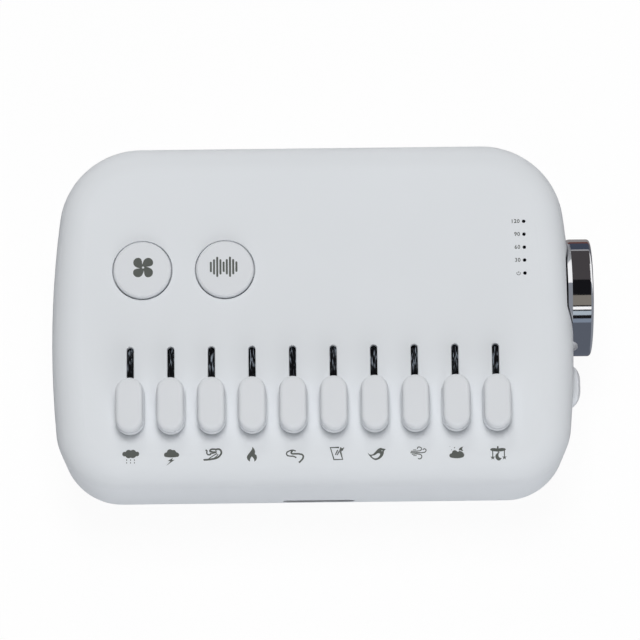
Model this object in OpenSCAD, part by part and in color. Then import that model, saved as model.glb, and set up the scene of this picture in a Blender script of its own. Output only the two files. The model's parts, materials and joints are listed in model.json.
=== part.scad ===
// White noise sound machine: a moulded table box with ten sound sliders, two push buttons,
// a row of timer lights, a volume knob and a side button on its right wall, and a speaker
// that fires down through the underside. Millimetres. +X is to the right, +Y to the rear and +Z up.

/* [Housing] */
// Width of the housing, left to right
body_w = 188; // [182:1:240]
// Depth of the housing, front to rear
body_d = 125; // [122:1:160]
// Height of the housing without its feet
body_h = 52; // [50:1:70]
// Radius of the two front corners, seen from above
corner_front_r = 22; // [19:0.1:30]
// Radius of the two rear corners, seen from above
corner_rear_r = 29.7; // [24:0.1:36]
// Radius to which the two short sides are bowed
side_bow_r = 359; // [300:1:900]
// Where the sides are widest, from the middle of the housing
side_bow_y = -7.7; // [-15:0.1:0]
// Rounding between the top panel and the walls
top_round = 11; // [8:0.5:15]
// Rounding between the walls and the underside
bottom_round = 7; // [5:0.5:7]
// Thickness of the moulded walls
wall = 2.4; // [2:0.1:3]
// Height of the parting line above the underside
split_h = 17; // [16:0.5:19]
// Height of the lip inside the parting line
lip_h = 2.4; // [1.5:0.1:3]

/* [Sliders] */
// Distance from one slider to the next
slider_pitch = 14.5; // [13:0.1:15]
// Travel of each slider
slider_travel = 20; // [15:1:22]
// Place of the slider caps at zero, from the middle of the housing
slider_y = -34.4; // [-35:0.1:-28]
// Width of the slots in the panel
slot_w = 2.5; // [2.2:0.1:3]
// Width of a slider cap
cap_w = 10.2; // [9:0.1:11]
// Length of a slider cap
cap_l = 20.7; // [17:0.1:23]
// Height of a slider cap
cap_h = 8; // [5:0.1:9]
// Gap under a slider cap
cap_gap = 0.4; // [0.3:0.1:0.8]
// Thickness of a slider's lever
lever_t = 1.2; // [1:0.1:1.4]
// Width of a slider's lever, along its travel
lever_w = 2.6; // [2:0.1:3.2]

/* [Buttons] */
// Diameter of the two round buttons
button_d = 21; // [18:0.5:23]
// How far they stand above the panel
button_h = 1.7; // [1.4:0.1:3]
// Place of both buttons, from the middle of the housing towards the rear
button_y = 15.3; // [14:0.1:23]
// Place of the fan button, from the middle of the housing
fan_button_x = -60.9; // [-62:0.1:-55]
// Place of the sound button, from the middle of the housing
sound_button_x = -31.2; // [-34:0.1:-26]
// Gap round each button
button_gap = 0.3; // [0.2:0.05:0.5]
// Travel of all three buttons
press_travel = 0.6; // [0.3:0.1:0.8]
// Length of the side button
side_button_l = 15.2; // [12:0.2:16]
// Height of the side button
side_button_h = 8.6; // [7:0.2:10]
// How far the side button stands out of the wall
side_button_out = 3.5; // [1.5:0.1:4.5]
// Place of the side button, from the middle of the housing
side_button_y = -24.2; // [-26:0.1:-23.5]

/* [Knob] */
// Diameter of the volume knob
knob_d = 42.8; // [36:0.2:43]
// Length of the volume knob
knob_l = 9.1; // [8:0.1:12]
// Gap between the knob and the pocket that it turns in
knob_gap = 0.6; // [0.4:0.1:1]
// Depth of the pocket in the right wall
pocket_depth = 2.3; // [1.5:0.1:3]
// Place of the knob's axis, from the middle of the housing
knob_y = 8.9; // [7:0.1:10]
// Height of the knob's axis above the underside
knob_h = 27; // [26.5:0.5:28]
// Diameter of the encoder's shaft
shaft_d = 6; // [5:0.1:6.2]

/* [Timer lights] */
// Diameter of the light holes
light_d = 1.3; // [1:0.1:2]
// Distance from one light to the next
light_pitch = 4.78; // [4:0.01:5]
// Place of the column of lights, from the middle of the housing
light_x = 76.5; // [72:0.1:77]
// Place of the lowest light, from the middle of the housing
light_y = 12.8; // [12:0.1:20]

/* [Speaker] */
// Diameter of the loudspeaker
speaker_d = 50; // [46:1:52]
// Place of the speaker's axis, from the middle of the housing
speaker_y = -6; // [-10:0.5:-4]
// Diameter of the holes in the speaker grille
grille_hole_d = 2.2; // [1.6:0.1:2.6]

/* [Feet and front outlet] */
// How far the rubber feet lift the housing
foot_stand = 3; // [2:0.5:5]
// Diameter of a rubber foot
foot_d = 12; // [8:0.5:13]
// Place of the feet to the left and right of the middle
foot_x = 52; // [45:1:56]
// Place of the feet to the front and rear of the middle
foot_y = 44; // [38:1:45]
// Width of the front outlet
vent_w = 26.4; // [20:0.2:40]
// Place of the front outlet, from the middle of the housing
vent_x = 1.6; // [-20:0.1:20]
// Height of the front outlet
vent_h = 4.2; // [3.5:0.1:4.5]

/* [Hidden] */
$fn = 72;
eps = 0.01;
slider_count = 10;
light_count = 5;

// Levels, from the surface that the feet stand on
foot_seat = 0.8;                   // depth of the shallow seat that holds a foot
underside_z = foot_stand;
floor_z = underside_z + wall;
split_z = underside_z + split_h;
panel_z = underside_z + body_h;
ceiling_z = panel_z - wall;
rooted = 0.5;                     // how far a boss or post runs into the wall that carries it

// Plan of the housing: each side is one bowed arc with a corner arc at each end, and it meets
// both on a tangent. The seam of two such arcs is on the line through their centres.
half_w = body_w / 2;
half_d = body_d / 2;
bow_x = half_w - side_bow_r;

// Centre of a corner arc, from the bow's centre
function arc_from_bow(r, y) = [sqrt(pow(side_bow_r - r, 2) - y * y), y];

front_seam = arc_from_bow(corner_front_r, corner_front_r - half_d - side_bow_y);
rear_seam = arc_from_bow(corner_rear_r, half_d - corner_rear_r - side_bow_y);
corner_arcs = [[corner_front_r, front_seam, -1], [corner_rear_r, rear_seam, 1]];
bow_overlap = 6;
bow_band = max(corner_front_r, corner_rear_r) + bow_overlap;
lip_gap = 0.1;
lip_skin = 0.05;
lip_root = 3;                      // how far the lip reaches down behind the wall that carries it

function arc_centre(arc) = [bow_x + arc[1][0], side_bow_y + arc[1][1]];
function side_wall_x(y, inset) = bow_x + sqrt(pow(side_bow_r - inset, 2) - pow(y - side_bow_y, 2));

// The knob and its pocket
pocket_x = half_w - pocket_depth;
pocket_side_gap = 0.5;
pocket_r = knob_d / 2 + pocket_side_gap;
knob_z = underside_z + knob_h;
knob_in_x = pocket_x + knob_gap;
knob_out_x = knob_in_x + knob_l;
knob_skin = 1.6;
knob_edge = 1.1;
knob_ring = 5;                     // thickness of the knob's round wall
knob_bevel = [0.5, 1.5];           // bevel of its inner edge, across and along the axis
knob_rim = 3;                      // width of the raised rim round the knob's end face
knob_face_in = 0.4;                // how far the end face lies inside that rim
shift_x = (knob_out_x - half_w) / 2;   // the middle of the whole object, knob included

// Circuit boards
board_t = 1.6;
pot_h = 6.6;
pot_w = 7;
pot_l = slider_travel + 15;
pot_skin = 0.8;
pot_under_ceiling = 2.1;
board_top_z = ceiling_z - pot_under_ceiling - pot_h;
board_z = board_top_z - board_t;
board_half_x = half_w - wall - 6.4;
board_half_y = half_d - wall - 10.6;
post_d = 6;
post_hole_d = 2;
post_y = half_d - 17;
post_places = [for (x = [-4, 0, 4], sy = [-1, 1]) [x * slider_pitch, sy * post_y]];
pilot_depth = 6;
screw_slack = 1;                   // how far a screw ends before the bottom of its hole

// Slide potentiometers and their levers
pot_y = slider_y + slider_travel / 2;
channel_w = pot_w - 2 * pot_skin;
channel_h = pot_h - 2 * pot_skin;
carriage_l = 7;
carriage_gap = 0.3;
channel_l = slider_travel + carriage_l + 2 * carriage_gap;
slot_clear = 0.3;
edge_break = 0.25;                 // bevel round the slots and button holes of the panel
slot_l = slider_travel + lever_w + 2 * slot_clear;
screen_t = 0.5;
cap_z = panel_z + cap_gap;
cap_top_z = cap_z + cap_h;
cap_skin = 1.4;
cap_step_h = 3.6;
cap_step = 0.5;
cap_round = 0.7;
lever_top_z = cap_top_z - cap_skin - 0.3;

// Push buttons and tact switches
button_round = 1.2;
flange_out = 1.7;
flange_t = 1.3;
flange_play = 0.15;
button_skin = 1.6;
flange_top_z = ceiling_z - flange_play;
button_top_z = panel_z + button_h;
switch_w = 6;
switch_h = 3.5;
plunger_d = 3.4;
plunger_out = 1.5;
plunger_in = 1.2;
plunger_play = 0.05;
stem_d = 5;
collar_gap = 0.35;
collar_t = 1.2;
collar_h = flange_t + press_travel + 1.2;

// The upright board behind the right wall
encoder_l = 6.4;
encoder_front_x = pocket_x - wall;
side_board_x = encoder_front_x - encoder_l - board_t;
side_board_front_x = side_board_x + board_t;
side_board_y0 = side_button_y - 7.5;
side_board_y1 = knob_y + 9;
side_board_z0 = split_z - 1;
side_board_z1 = board_z - 2.4;
bush_d = 7;
nut_t = 2;
bush_l = wall + nut_t + 0.1;
hub_gap = 0.5;                     // between the nut and the knob's hub
shaft_in = 2;                      // where the shaft starts inside the encoder
side_button_x = side_wall_x(side_button_y, 0);
side_lug_l = 9;
side_lug_reach = abs(side_button_y - side_bow_y) + side_lug_l / 2;
side_lug_front_x = side_wall_x(side_bow_y + side_lug_reach, wall) - flange_play;
side_lug_x = side_lug_front_x - flange_t;
side_stem_d = 3;

// Loudspeaker
gasket_t = 3;
gasket_ring = 2;
speaker_open_d = speaker_d - 8;
speaker_ear_r = speaker_d / 2 + 2;
speaker_flange_t = 1.2;
speaker_flange_z = floor_z + gasket_t;
basket_h = 9;
basket_top_z = speaker_flange_z + speaker_flange_t + basket_h;
magnet_d = 31;
magnet_h = 8;
grille_t = 1.2;
grille_d = speaker_open_d + 11;
grille_rings = 5;
ear_d = 7;
terminal_y = speaker_d / 2 - 2;    // outer face of the speaker's terminal strip

// Screws that hold the two shells together
boss_d = 9;
boss_in = 12.5;                    // boss centre, in from the corner arc along the diagonal
boss_places = [for (sx = [-1, 1], arc = corner_arcs)
    [sx * (arc_centre(arc)[0] + (arc[0] - boss_in) * cos(45)),
     arc_centre(arc)[1] + arc[2] * (arc[0] - boss_in) * sin(45)]];
screw_d = 2.9;
screw_core_d = 2.5;
screw_head_d = 6;
screw_seat = 8;
screw_l = split_h - screw_seat + 14;

// The main board and its power inlet
main_board_z = floor_z + 5.6;
main_board_top_z = main_board_z + board_t;
main_board_y0 = half_d - 29;
main_board_y1 = half_d - wall - 2;
main_board_half_x = 42;
main_post_in = 4.5;                // posts, in from the board's edges
main_posts = [for (sx = [-1, 1], y = [main_board_y0 + main_post_in, main_board_y1 - main_post_in])
    [sx * (main_board_half_x - main_post_in), y]];
plug_h = 3;
lead_z = main_board_top_z + plug_h / 2;
usb_w = 8.94;
usb_h = 3.26;
usb_l = 7.3;
usb_z = main_board_top_z + usb_h / 2;
usb_mouth_in = 0.9;                // how far the socket's mouth lies inside the wall
usb_mouth_y = half_d - usb_mouth_in;
usb_gap = 0.25;
plug_well = [12.4, 6.4];           // the recess round the mouth, for the plug's moulding

// The front outlet
vent_z = underside_z + 9.8;
vent_bar = 1;
vent_slot = 1.6;
vent_rim = 0.6;
vent_rim_t = 1;
vent_in = 0.8;                     // how far the insert's face lies inside the wall

// Ribs on the floor
rib_x = 42;
rib_t = 1.6;
rib_h = 4;
rib_l = half_d + 12;

light_places = [for (n = [0:light_count - 1]) [light_x, light_y + n * light_pitch]];

function slider_x(n) = (n - (slider_count + 1) / 2) * slider_pitch;
function two_digits(n) = n < 10 ? str("0", n) : str(n);

// ---------- shared shapes ----------

module centred() {
    translate([-shift_x, 0, 0]) children();
}

module four_corners(x, y) {
    for (sx = [-1, 1], sy = [-1, 1]) translate([sx * x, sy * y, 0]) children();
}

// A cylinder whose axis lies along +X, from x0 to x1
module rod_x(d, x0, x1, y, z) {
    translate([x0, y, z]) rotate([0, 90, 0]) cylinder(d = d, h = x1 - x0);
}

// Section of the housing's edge, from radius near to radius far
module edge_profile(near, far, inset) {
    low = underside_z + inset;
    high = panel_z - inset;
    top_r = top_round - inset;
    low_r = bottom_round - inset;
    difference() {
        translate([near, low]) square([far - near, high - low]);
        translate([far - top_r, high - top_r]) difference() {
            square(top_r + 1);
            circle(top_r);
        }
        translate([far - low_r, low + low_r]) mirror([0, 1]) difference() {
            square(low_r + 1);
            circle(low_r);
        }
    }
}

// The sector of a bowed side between its two seams, drawn from the bow's centre
module bow_wedge() {
    polygon([0.9 * front_seam, 1.2 * front_seam, 1.2 * rear_seam, 0.9 * rear_seam]);
}

// The sector of a corner between its seam and the straight wall, drawn from the corner's centre
module corner_wedge(arc) {
    far_y = 2 * arc[2] * arc[0];
    polygon([[0, 0], 0.2 * arc[1], [0.2 * arc[1][0], far_y], [0, far_y]]);
}

// The middle of the plan, between the centres of the four corner arcs
module core_outline() {
    front = arc_centre(corner_arcs[0]);
    rear = arc_centre(corner_arcs[1]);
    polygon([[-front[0], front[1]], front, rear, [-rear[0], rear[1]]]);
}

// What lies behind a straight wall is drawn as for the rear one, and mirrored for the front one
module at_straight_wall(arc) {
    centre = arc_centre(arc);
    mirror([0, arc[2] < 0 ? 1 : 0, 0]) translate([-centre[0], arc[2] * centre[1], 0]) children();
}

module full_height() {
    translate([0, 0, underside_z - 1]) linear_extrude(body_h + 2) children();
}

module at_places(places, z) {
    for (place = places) translate([place[0], place[1], z]) children();
}

module at_speaker_ears(z) {
    for (a = [45:90:359]) translate([0, speaker_y, z]) rotate(a) translate([speaker_ear_r, 0, 0])
        children();
}

// The housing's outer form, or the same form shrunk by inset on every side
module body_solid(inset) {
    for (side = [0, 1]) mirror([side, 0, 0]) {
        translate([bow_x, side_bow_y, 0]) intersection() {
            rotate_extrude() edge_profile(side_bow_r - bow_band, side_bow_r - inset, inset);
            full_height() bow_wedge();
        }
        for (arc = corner_arcs) translate(arc_centre(arc)) intersection() {
            rotate_extrude() edge_profile(0, arc[0] - inset, inset);
            full_height() corner_wedge(arc);
        }
    }
    for (arc = corner_arcs) at_straight_wall(arc) rotate([90, 0, 90])
        linear_extrude(2 * arc_centre(arc)[0]) edge_profile(0, arc[0] - inset, inset);
    translate([0, 0, underside_z + inset]) linear_extrude(body_h - 2 * inset) core_outline();
}

// The housing's plan, shrunk by inset
module body_plan(inset) {
    core_outline();
    for (arc = corner_arcs) at_straight_wall(arc) square([2 * arc_centre(arc)[0], arc[0] - inset]);
    for (side = [0, 1]) mirror([side, 0]) {
        translate([bow_x, side_bow_y]) intersection() {
            circle(side_bow_r - inset);
            bow_wedge();
        }
        for (arc = corner_arcs) translate(arc_centre(arc)) intersection() {
            circle(arc[0] - inset);
            corner_wedge(arc);
        }
    }
}

// An upright form with two round ends, from the section of its rim
module pill(width, length) {
    straight = length - width;
    for (end = [0, 1]) mirror([0, end, 0]) translate([0, straight / 2, 0])
        rotate_extrude(angle = 180) children();
    translate([0, straight / 2, 0]) rotate([90, 0, 0]) linear_extrude(straight) {
        children();
        mirror([1, 0]) children();
    }
}

// A flat outline pushed out along +Y, from y0 to y1, at height z
module along_y(y0, y1, z) {
    translate([0, y0, z]) rotate([-90, 0, 0]) linear_extrude(y1 - y0) children();
}

// A flat outline with two round ends, along X
module lying_slot(length, height) {
    rotate(90) slot_outline(height, length);
}

// A flat outline with two round ends, along Y
module slot_outline(width, length) {
    square([width, length - width], center = true);
    for (sy = [-1, 1]) translate([0, sy * (length - width) / 2]) circle(d = width);
}

// ---------- housing ----------

module knob_backing(spare) {
    rod_x(2 * (pocket_r + wall + spare), pocket_x - wall - spare, half_w + 1, knob_y, knob_z);
}

module housing_shell() {
    difference() {
        body_solid(0);
        difference() {
            body_solid(wall);
            knob_backing(0);
        }
        rod_x(2 * pocket_r, pocket_x, half_w + 1, knob_y, knob_z);
    }
}

module above_split() {
    translate([-body_w, -body_d, split_z]) cube([2 * body_w, 2 * body_d, body_h]);
}

module below_split() {
    translate([-body_w, -body_d, split_z - body_h]) cube([2 * body_w, 2 * body_d, body_h]);
}

module button_collar(x) {
    collar_r = button_d / 2 + flange_out + collar_gap;
    translate([x, button_y, ceiling_z - collar_h]) difference() {
        cylinder(r = collar_r + collar_t, h = collar_h + rooted);
        translate([0, 0, -1]) cylinder(r = collar_r, h = collar_h + 1);
    }
}

// A slot through the panel, with a small bevel round its upper edge
module slot_cut() {
    r = slot_w / 2;
    translate([0, 0, ceiling_z - 1]) linear_extrude(wall + 2) slot_outline(slot_w, slot_l);
    translate([0, 0, panel_z]) pill(slot_w, slot_l)
        polygon([[0, -edge_break], [r, -edge_break], [r + edge_break, 0], [r + edge_break, 1], [0, 1]]);
}

module button_cut() {
    r = button_d / 2 + button_gap;
    translate([0, 0, ceiling_z - 1]) cylinder(r = r, h = wall + 2);
    translate([0, 0, panel_z - edge_break]) cylinder(r1 = r, r2 = r + 2 * edge_break, h = 2 * edge_break);
}

module top_cover() {
    color([0.84, 0.85, 0.87]) difference() {
        union() {
            intersection() {
                housing_shell();
                above_split();
            }
            at_places(boss_places, split_z) cylinder(d = boss_d, h = ceiling_z + rooted - split_z);
            at_places(post_places, board_top_z)
                cylinder(d = post_d, h = ceiling_z + rooted - board_top_z);
            button_collar(fan_button_x);
            button_collar(sound_button_x);
        }
        // rebate for the lip of the bottom shell
        difference() {
            translate([0, 0, split_z - 1]) linear_extrude(lip_h + lip_gap + 1) difference() {
                body_plan(wall / 2);
                body_plan(wall + 3);
            }
            knob_backing(0);
        }
        // slots, button holes and light holes in the panel
        for (n = [1:slider_count]) translate([slider_x(n), pot_y, 0]) slot_cut();
        for (x = [fan_button_x, sound_button_x]) translate([x, button_y, 0]) button_cut();
        at_places(light_places, ceiling_z - 1) cylinder(d = light_d, h = wall + 2);
        // side button window and encoder hole in the right wall
        translate([side_lug_x - press_travel - 1, side_button_y, knob_z]) rotate([0, 90, 0])
            linear_extrude(side_button_x - side_lug_x + press_travel + 2)
                slot_outline(side_button_h + 2 * button_gap, side_button_l + 2 * button_gap);
        rod_x(bush_d + 0.2, pocket_x - wall - 1, pocket_x + 1, knob_y, knob_z);
        // screw pilots
        at_places(boss_places, split_z - 1)
            cylinder(d = screw_core_d + 0.1, h = screw_l - split_h + screw_seat + 2);
        at_places(post_places, board_top_z - 1) cylinder(d = post_hole_d, h = pilot_depth + 1);
    }
}

module bottom_shell() {
    color([0.82, 0.83, 0.86]) difference() {
        union() {
            intersection() {
                housing_shell();
                below_split();
            }
            difference() {
                translate([0, 0, split_z - lip_root]) linear_extrude(lip_root + lip_h) difference() {
                    body_plan(wall / 2 + lip_gap);
                    body_plan(wall - lip_skin);
                }
                knob_backing(lip_gap);
            }
            at_places(boss_places, floor_z - rooted)
                cylinder(d = boss_d, h = split_z - floor_z + rooted);
            // speaker posts
            at_speaker_ears(floor_z - rooted) cylinder(d = post_d, h = gasket_t + rooted);
            // main board posts
            at_places(main_posts, floor_z - rooted)
                cylinder(d = post_d, h = main_board_z - floor_z + rooted);
            // grooved guides for the upright board
            for (end = [[side_board_y0, 1], [side_board_y1, -1]])
                side_board_guide(end[0], end[1]);
            // stiffening ribs on the floor
            for (sx = [-1, 1]) translate([sx * rib_x - rib_t / 2, -half_d + wall + 8, floor_z - rooted])
                cube([rib_t, rib_l, rib_h + rooted]);
        }
        // speaker opening, with a seat for the grille
        translate([0, speaker_y, underside_z - 1]) {
            cylinder(d = speaker_open_d, h = wall + 2);
            cylinder(d = grille_d, h = grille_t + 1);
        }
        at_speaker_ears(floor_z) cylinder(d = post_hole_d, h = gasket_t + 1);
        at_places(main_posts, floor_z) cylinder(d = post_hole_d, h = main_board_z - floor_z + 1);
        // case screws: head wells and clearance holes
        at_places(boss_places, underside_z) {
            translate([0, 0, -1]) cylinder(d = screw_head_d + 0.5, h = screw_seat + 1);
            cylinder(d = screw_d + 0.4, h = split_h + 1);
        }
        // seats for the rubber feet
        four_corners(foot_x, foot_y) translate([0, 0, underside_z - 1])
            cylinder(d = foot_d, h = foot_seat + 1);
        // power inlet
        along_y(half_d - wall - 2, half_d + 1, usb_z)
            lying_slot(usb_w + 2 * usb_gap, usb_h + 2 * usb_gap);
        along_y(usb_mouth_y, half_d + 1, usb_z) lying_slot(plug_well[0], plug_well[1]);
        // front outlet
        translate([vent_x, 0, 0]) along_y(-half_d - 1, -half_d + wall + 2, vent_z)
            lying_slot(vent_w, vent_h);
    }
}

// A post with a groove that holds one end of the upright board
module side_board_guide(y, inward) {
    groove = 1.5;
    clear = 0.15;
    cheek = 1.8;
    back = 2;
    rise = 5;                      // how far the groove holds the board above its lower edge
    post_x = board_t / 2 + cheek;
    translate([side_board_x + board_t / 2, y, 0]) mirror([0, inward > 0 ? 1 : 0, 0]) difference() {
        translate([-post_x, -groove, floor_z - rooted])
            cube([2 * post_x, groove + back, side_board_z0 + rise - floor_z + rooted]);
        translate([-board_t / 2 - clear, -groove - 1, side_board_z0 - clear])
            cube([board_t + 2 * clear, groove + 1 + clear, 2 * rise]);
    }
}

module front_vent() {
    slot_step = vent_slot + vent_bar;
    slots = floor((vent_w - vent_h) / slot_step);
    fit = 0.1;
    inner_y = -half_d + wall;
    color([0.08, 0.08, 0.09]) translate([vent_x, 0, 0]) difference() {
        union() {
            along_y(-half_d + vent_in, inner_y + eps, vent_z)
                lying_slot(vent_w - 2 * fit, vent_h - 2 * fit);
            along_y(inner_y, inner_y + vent_rim_t, vent_z)
                lying_slot(vent_w + 2 * vent_rim, vent_h + 2 * vent_rim);
        }
        for (n = [0:slots - 1]) translate([(n - (slots - 1) / 2) * slot_step, 0, 0])
            along_y(-half_d, inner_y + vent_rim_t + 1, vent_z) slot_outline(vent_slot, vent_h - 2 * 0.7);
    }
}

module speaker_grille() {
    ring_step = (speaker_open_d / 2 - grille_hole_d / 2 - 0.4) / grille_rings;
    color([0.16, 0.16, 0.17]) translate([0, speaker_y, underside_z]) difference() {
        cylinder(d = grille_d - 0.2, h = grille_t);
        translate([0, 0, -1]) linear_extrude(grille_t + 2) {
            circle(d = grille_hole_d);
            for (ring = [1:grille_rings], n = [0:6 * ring - 1]) rotate(n * 60 / ring)
                translate([ring * ring_step, 0]) circle(d = grille_hole_d);
        }
    }
}

module rubber_feet() {
    chamfer = 0.8;
    fit_d = foot_d - 0.2;
    color([0.2, 0.2, 0.21]) four_corners(foot_x, foot_y) {
        cylinder(d1 = fit_d - 2 * chamfer, d2 = fit_d, h = chamfer);
        translate([0, 0, chamfer]) cylinder(d = fit_d, h = foot_stand + foot_seat - chamfer);
    }
}

module cross_recess(length, width, depth) {
    for (a = [0, 90]) rotate(a) translate([-length / 2, -width / 2, -1]) cube([length, width, depth + 1]);
}

module case_screws() {
    head_t = 2.2;
    color([0.62, 0.62, 0.64]) at_places(boss_places, underside_z + screw_seat - head_t) {
        difference() {
            cylinder(d = screw_head_d, h = head_t);
            cross_recess(3.2, 0.7, 1.2);
        }
        cylinder(d = screw_d, h = split_h - screw_seat + head_t);
        cylinder(d = screw_core_d, h = screw_l + head_t);
    }
}

// ---------- sliders ----------

module slide_pot(x) {
    color([0.1, 0.1, 0.11]) translate([x, pot_y, board_top_z]) difference() {
        union() {
            translate([-pot_w / 2, -pot_l / 2, 0]) cube([pot_w, pot_l, pot_h]);
            for (sy = [-1, 1]) translate([-2, sy * (pot_l / 2 + 0.6) - 0.6, 0]) cube([4, 1.2, 2.4]);
        }
        translate([-channel_w / 2, -channel_l / 2, pot_skin]) cube([channel_w, channel_l, channel_h]);
        translate([0, 0, pot_h - pot_skin - 1]) linear_extrude(pot_skin + 2)
            slot_outline(lever_t + 2 * slot_clear, slot_l);
    }
}

module slider_lever(x) {
    carriage_h = channel_h - 2 * carriage_gap;
    carriage_z = board_top_z + pot_skin + carriage_gap;
    color([0.12, 0.12, 0.13]) translate([x, slider_y, carriage_z]) {
        translate([-channel_w / 2 + carriage_gap, -carriage_l / 2, 0])
            cube([channel_w - 2 * carriage_gap, carriage_l, carriage_h]);
        translate([-lever_t / 2, -lever_w / 2, carriage_h - eps])
            cube([lever_t, lever_w, lever_top_z - carriage_z - carriage_h + eps]);
    }
}

// Section of a slider cap's rim: a skirt, a step halfway up, and a rounded upper edge
module cap_profile() {
    skirt_r = cap_w / 2;
    upper_r = skirt_r - cap_step;
    square([skirt_r, cap_step_h]);
    difference() {
        square([upper_r, cap_h]);
        translate([upper_r - cap_round, cap_h - cap_round]) difference() {
            square(cap_round + 1);
            circle(cap_round);
        }
    }
}

module slider_cap(x) {
    socket_gap = 0.05;
    color([0.86, 0.87, 0.89]) translate([x, slider_y, cap_z]) {
        difference() {
            pill(cap_w, cap_l) cap_profile();
            translate([0, 0, -1]) linear_extrude(cap_h - cap_skin + 1)
                slot_outline(cap_w - 2 * cap_skin, cap_l - 2 * cap_skin);
        }
        difference() {
            translate([-2, -3, 0]) cube([4, 6, cap_h - cap_skin + eps]);
            translate([-lever_t / 2 - socket_gap, -lever_w / 2 - socket_gap, -1])
                cube([lever_t + 2 * socket_gap, lever_w + 2 * socket_gap, cap_h - cap_skin + 1]);
        }
    }
}

module slot_screen() {
    color([0.03, 0.03, 0.03]) translate([0, pot_y, ceiling_z - screen_t]) difference() {
        translate([-5 * slider_pitch, -slot_l / 2 - 3, 0])
            cube([10 * slider_pitch, slot_l + 6, screen_t]);
        for (n = [1:slider_count]) translate([slider_x(n), 0, -1]) linear_extrude(screen_t + 2)
            slot_outline(lever_t + 2 * slot_clear, slot_l);
    }
}

// ---------- buttons ----------

// Section of a round button: crown, skirt and stop flange
module button_profile() {
    r = button_d / 2;
    flange_z = flange_top_z - flange_t;
    difference() {
        translate([0, flange_z]) square([r, button_top_z - flange_z]);
        translate([0, flange_z - 1])
            square([r - button_skin, button_top_z - button_skin - flange_z + 1]);
        translate([r - button_round, button_top_z - button_round]) difference() {
            square(button_round + 1);
            circle(button_round);
        }
    }
    translate([r - button_skin, flange_z]) square([button_skin + flange_out, flange_t]);
}

module round_button(x) {
    stem_z = board_top_z + switch_h + plunger_out;
    color([0.85, 0.86, 0.88]) translate([x, button_y, 0]) {
        rotate_extrude() button_profile();
        translate([0, 0, stem_z]) cylinder(d = stem_d, h = button_top_z - button_skin - stem_z + eps);
        for (a = [0, 90]) rotate(a) translate([-button_d / 2 + 1, -0.6, flange_top_z])
            cube([button_d - 2, 1.2, button_top_z - button_skin - flange_top_z + eps]);
    }
}

module fan_button() { round_button(fan_button_x); }
module sound_button() { round_button(sound_button_x); }

module side_button() {
    dome_h = side_button_out - 0.5;
    dome_r = (pow(side_button_l / 2, 2) + pow(dome_h, 2)) / (2 * dome_h);
    tip_x = side_button_x + side_button_out;
    stem_x = side_board_front_x + switch_h + plunger_out;
    color([0.85, 0.86, 0.88]) {
        intersection() {
            translate([side_lug_x, side_button_y, knob_z]) rotate([0, 90, 0])
                linear_extrude(tip_x - side_lug_x) slot_outline(side_button_h, side_button_l);
            translate([tip_x - dome_r, side_button_y, knob_z - side_button_h])
                cylinder(r = dome_r, h = 2 * side_button_h);
            translate([tip_x - dome_r, side_button_y + side_button_l, knob_z]) rotate([90, 0, 0])
                cylinder(r = dome_r, h = 2 * side_button_l);
        }
        // lugs above and below that stop against the inside of the wall
        translate([side_lug_x, side_button_y - side_lug_l / 2, knob_z - side_button_h / 2 - flange_out])
            cube([flange_t, side_lug_l, side_button_h + 2 * flange_out]);
        rod_x(side_stem_d, stem_x, side_lug_x + eps, side_button_y, knob_z);
    }
}

// A plunger pushed down by its button: it stands at the origin and points along +Z
module plunger() {
    color([0.16, 0.16, 0.17]) translate([0, 0, switch_h - plunger_in])
        cylinder(d = plunger_d, h = plunger_in + plunger_out);
}

module fan_plunger() { translate([fan_button_x, button_y, board_top_z]) plunger(); }
module sound_plunger() { translate([sound_button_x, button_y, board_top_z]) plunger(); }
module side_plunger() {
    translate([side_board_front_x, side_button_y, knob_z]) rotate([0, 90, 0]) plunger();
}

module tact_switch() {
    leg = [1.2, 0.8, 0.4];
    leg_y = 2.2;
    difference() {
        translate([-switch_w / 2, -switch_w / 2, 0]) cube([switch_w, switch_w, switch_h]);
        translate([0, 0, switch_h - plunger_in - press_travel - 0.2])
            cylinder(d = plunger_d + 2 * plunger_play, h = switch_h);
    }
    for (sx = [-1, 1], sy = [-1, 1])
        translate([sx * (switch_w / 2 + leg[0] / 2) - leg[0] / 2, sy * leg_y - leg[1] / 2, 0]) cube(leg);
}

module tact_switches() {
    color([0.13, 0.13, 0.14]) {
        for (x = [fan_button_x, sound_button_x]) translate([x, button_y, board_top_z]) tact_switch();
        translate([side_board_front_x, side_button_y, knob_z]) rotate([0, 90, 0]) tact_switch();
    }
}

// ---------- volume knob and encoder ----------

module knob_profile() {
    r = knob_d / 2;
    hub_r = shaft_d / 2 + 2.6;
    hub_z = pocket_x + nut_t + hub_gap - knob_in_x;
    difference() {
        square([r, knob_l]);
        translate([hub_r, -1]) square([r - knob_ring - hub_r, knob_l - knob_skin - knob_face_in + 1]);
        translate([-1, -1]) square([hub_r + 2, hub_z + 1]);
        polygon([[r - knob_bevel[0], 0], [r, knob_bevel[1]], [r + 1, knob_bevel[1]], [r + 1, -1],
                 [r - knob_bevel[0], -1]]);
        translate([r - knob_edge, knob_l - knob_edge]) difference() {
            square(knob_edge + 1);
            circle(knob_edge);
        }
        translate([-1, knob_l - knob_face_in]) square([r - knob_rim + 1, 1]);
    }
}

// The shaft's outline has one flat, so that the knob can't slip on it
module shaft_outline(d) {
    difference() {
        circle(d = d);
        translate([d / 2 - 1.5, -d]) square([d, 2 * d]);
    }
}

module volume_knob() {
    bore_l = knob_l - knob_skin - knob_face_in;
    color([0.72, 0.72, 0.74]) difference() {
        translate([knob_in_x, knob_y, knob_z]) rotate([0, 90, 0]) rotate_extrude($fn = 120) knob_profile();
        translate([knob_in_x - 1, knob_y, knob_z]) rotate([0, 90, 0]) linear_extrude(bore_l + 1)
            shaft_outline(shaft_d + 0.08);
    }
}

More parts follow.
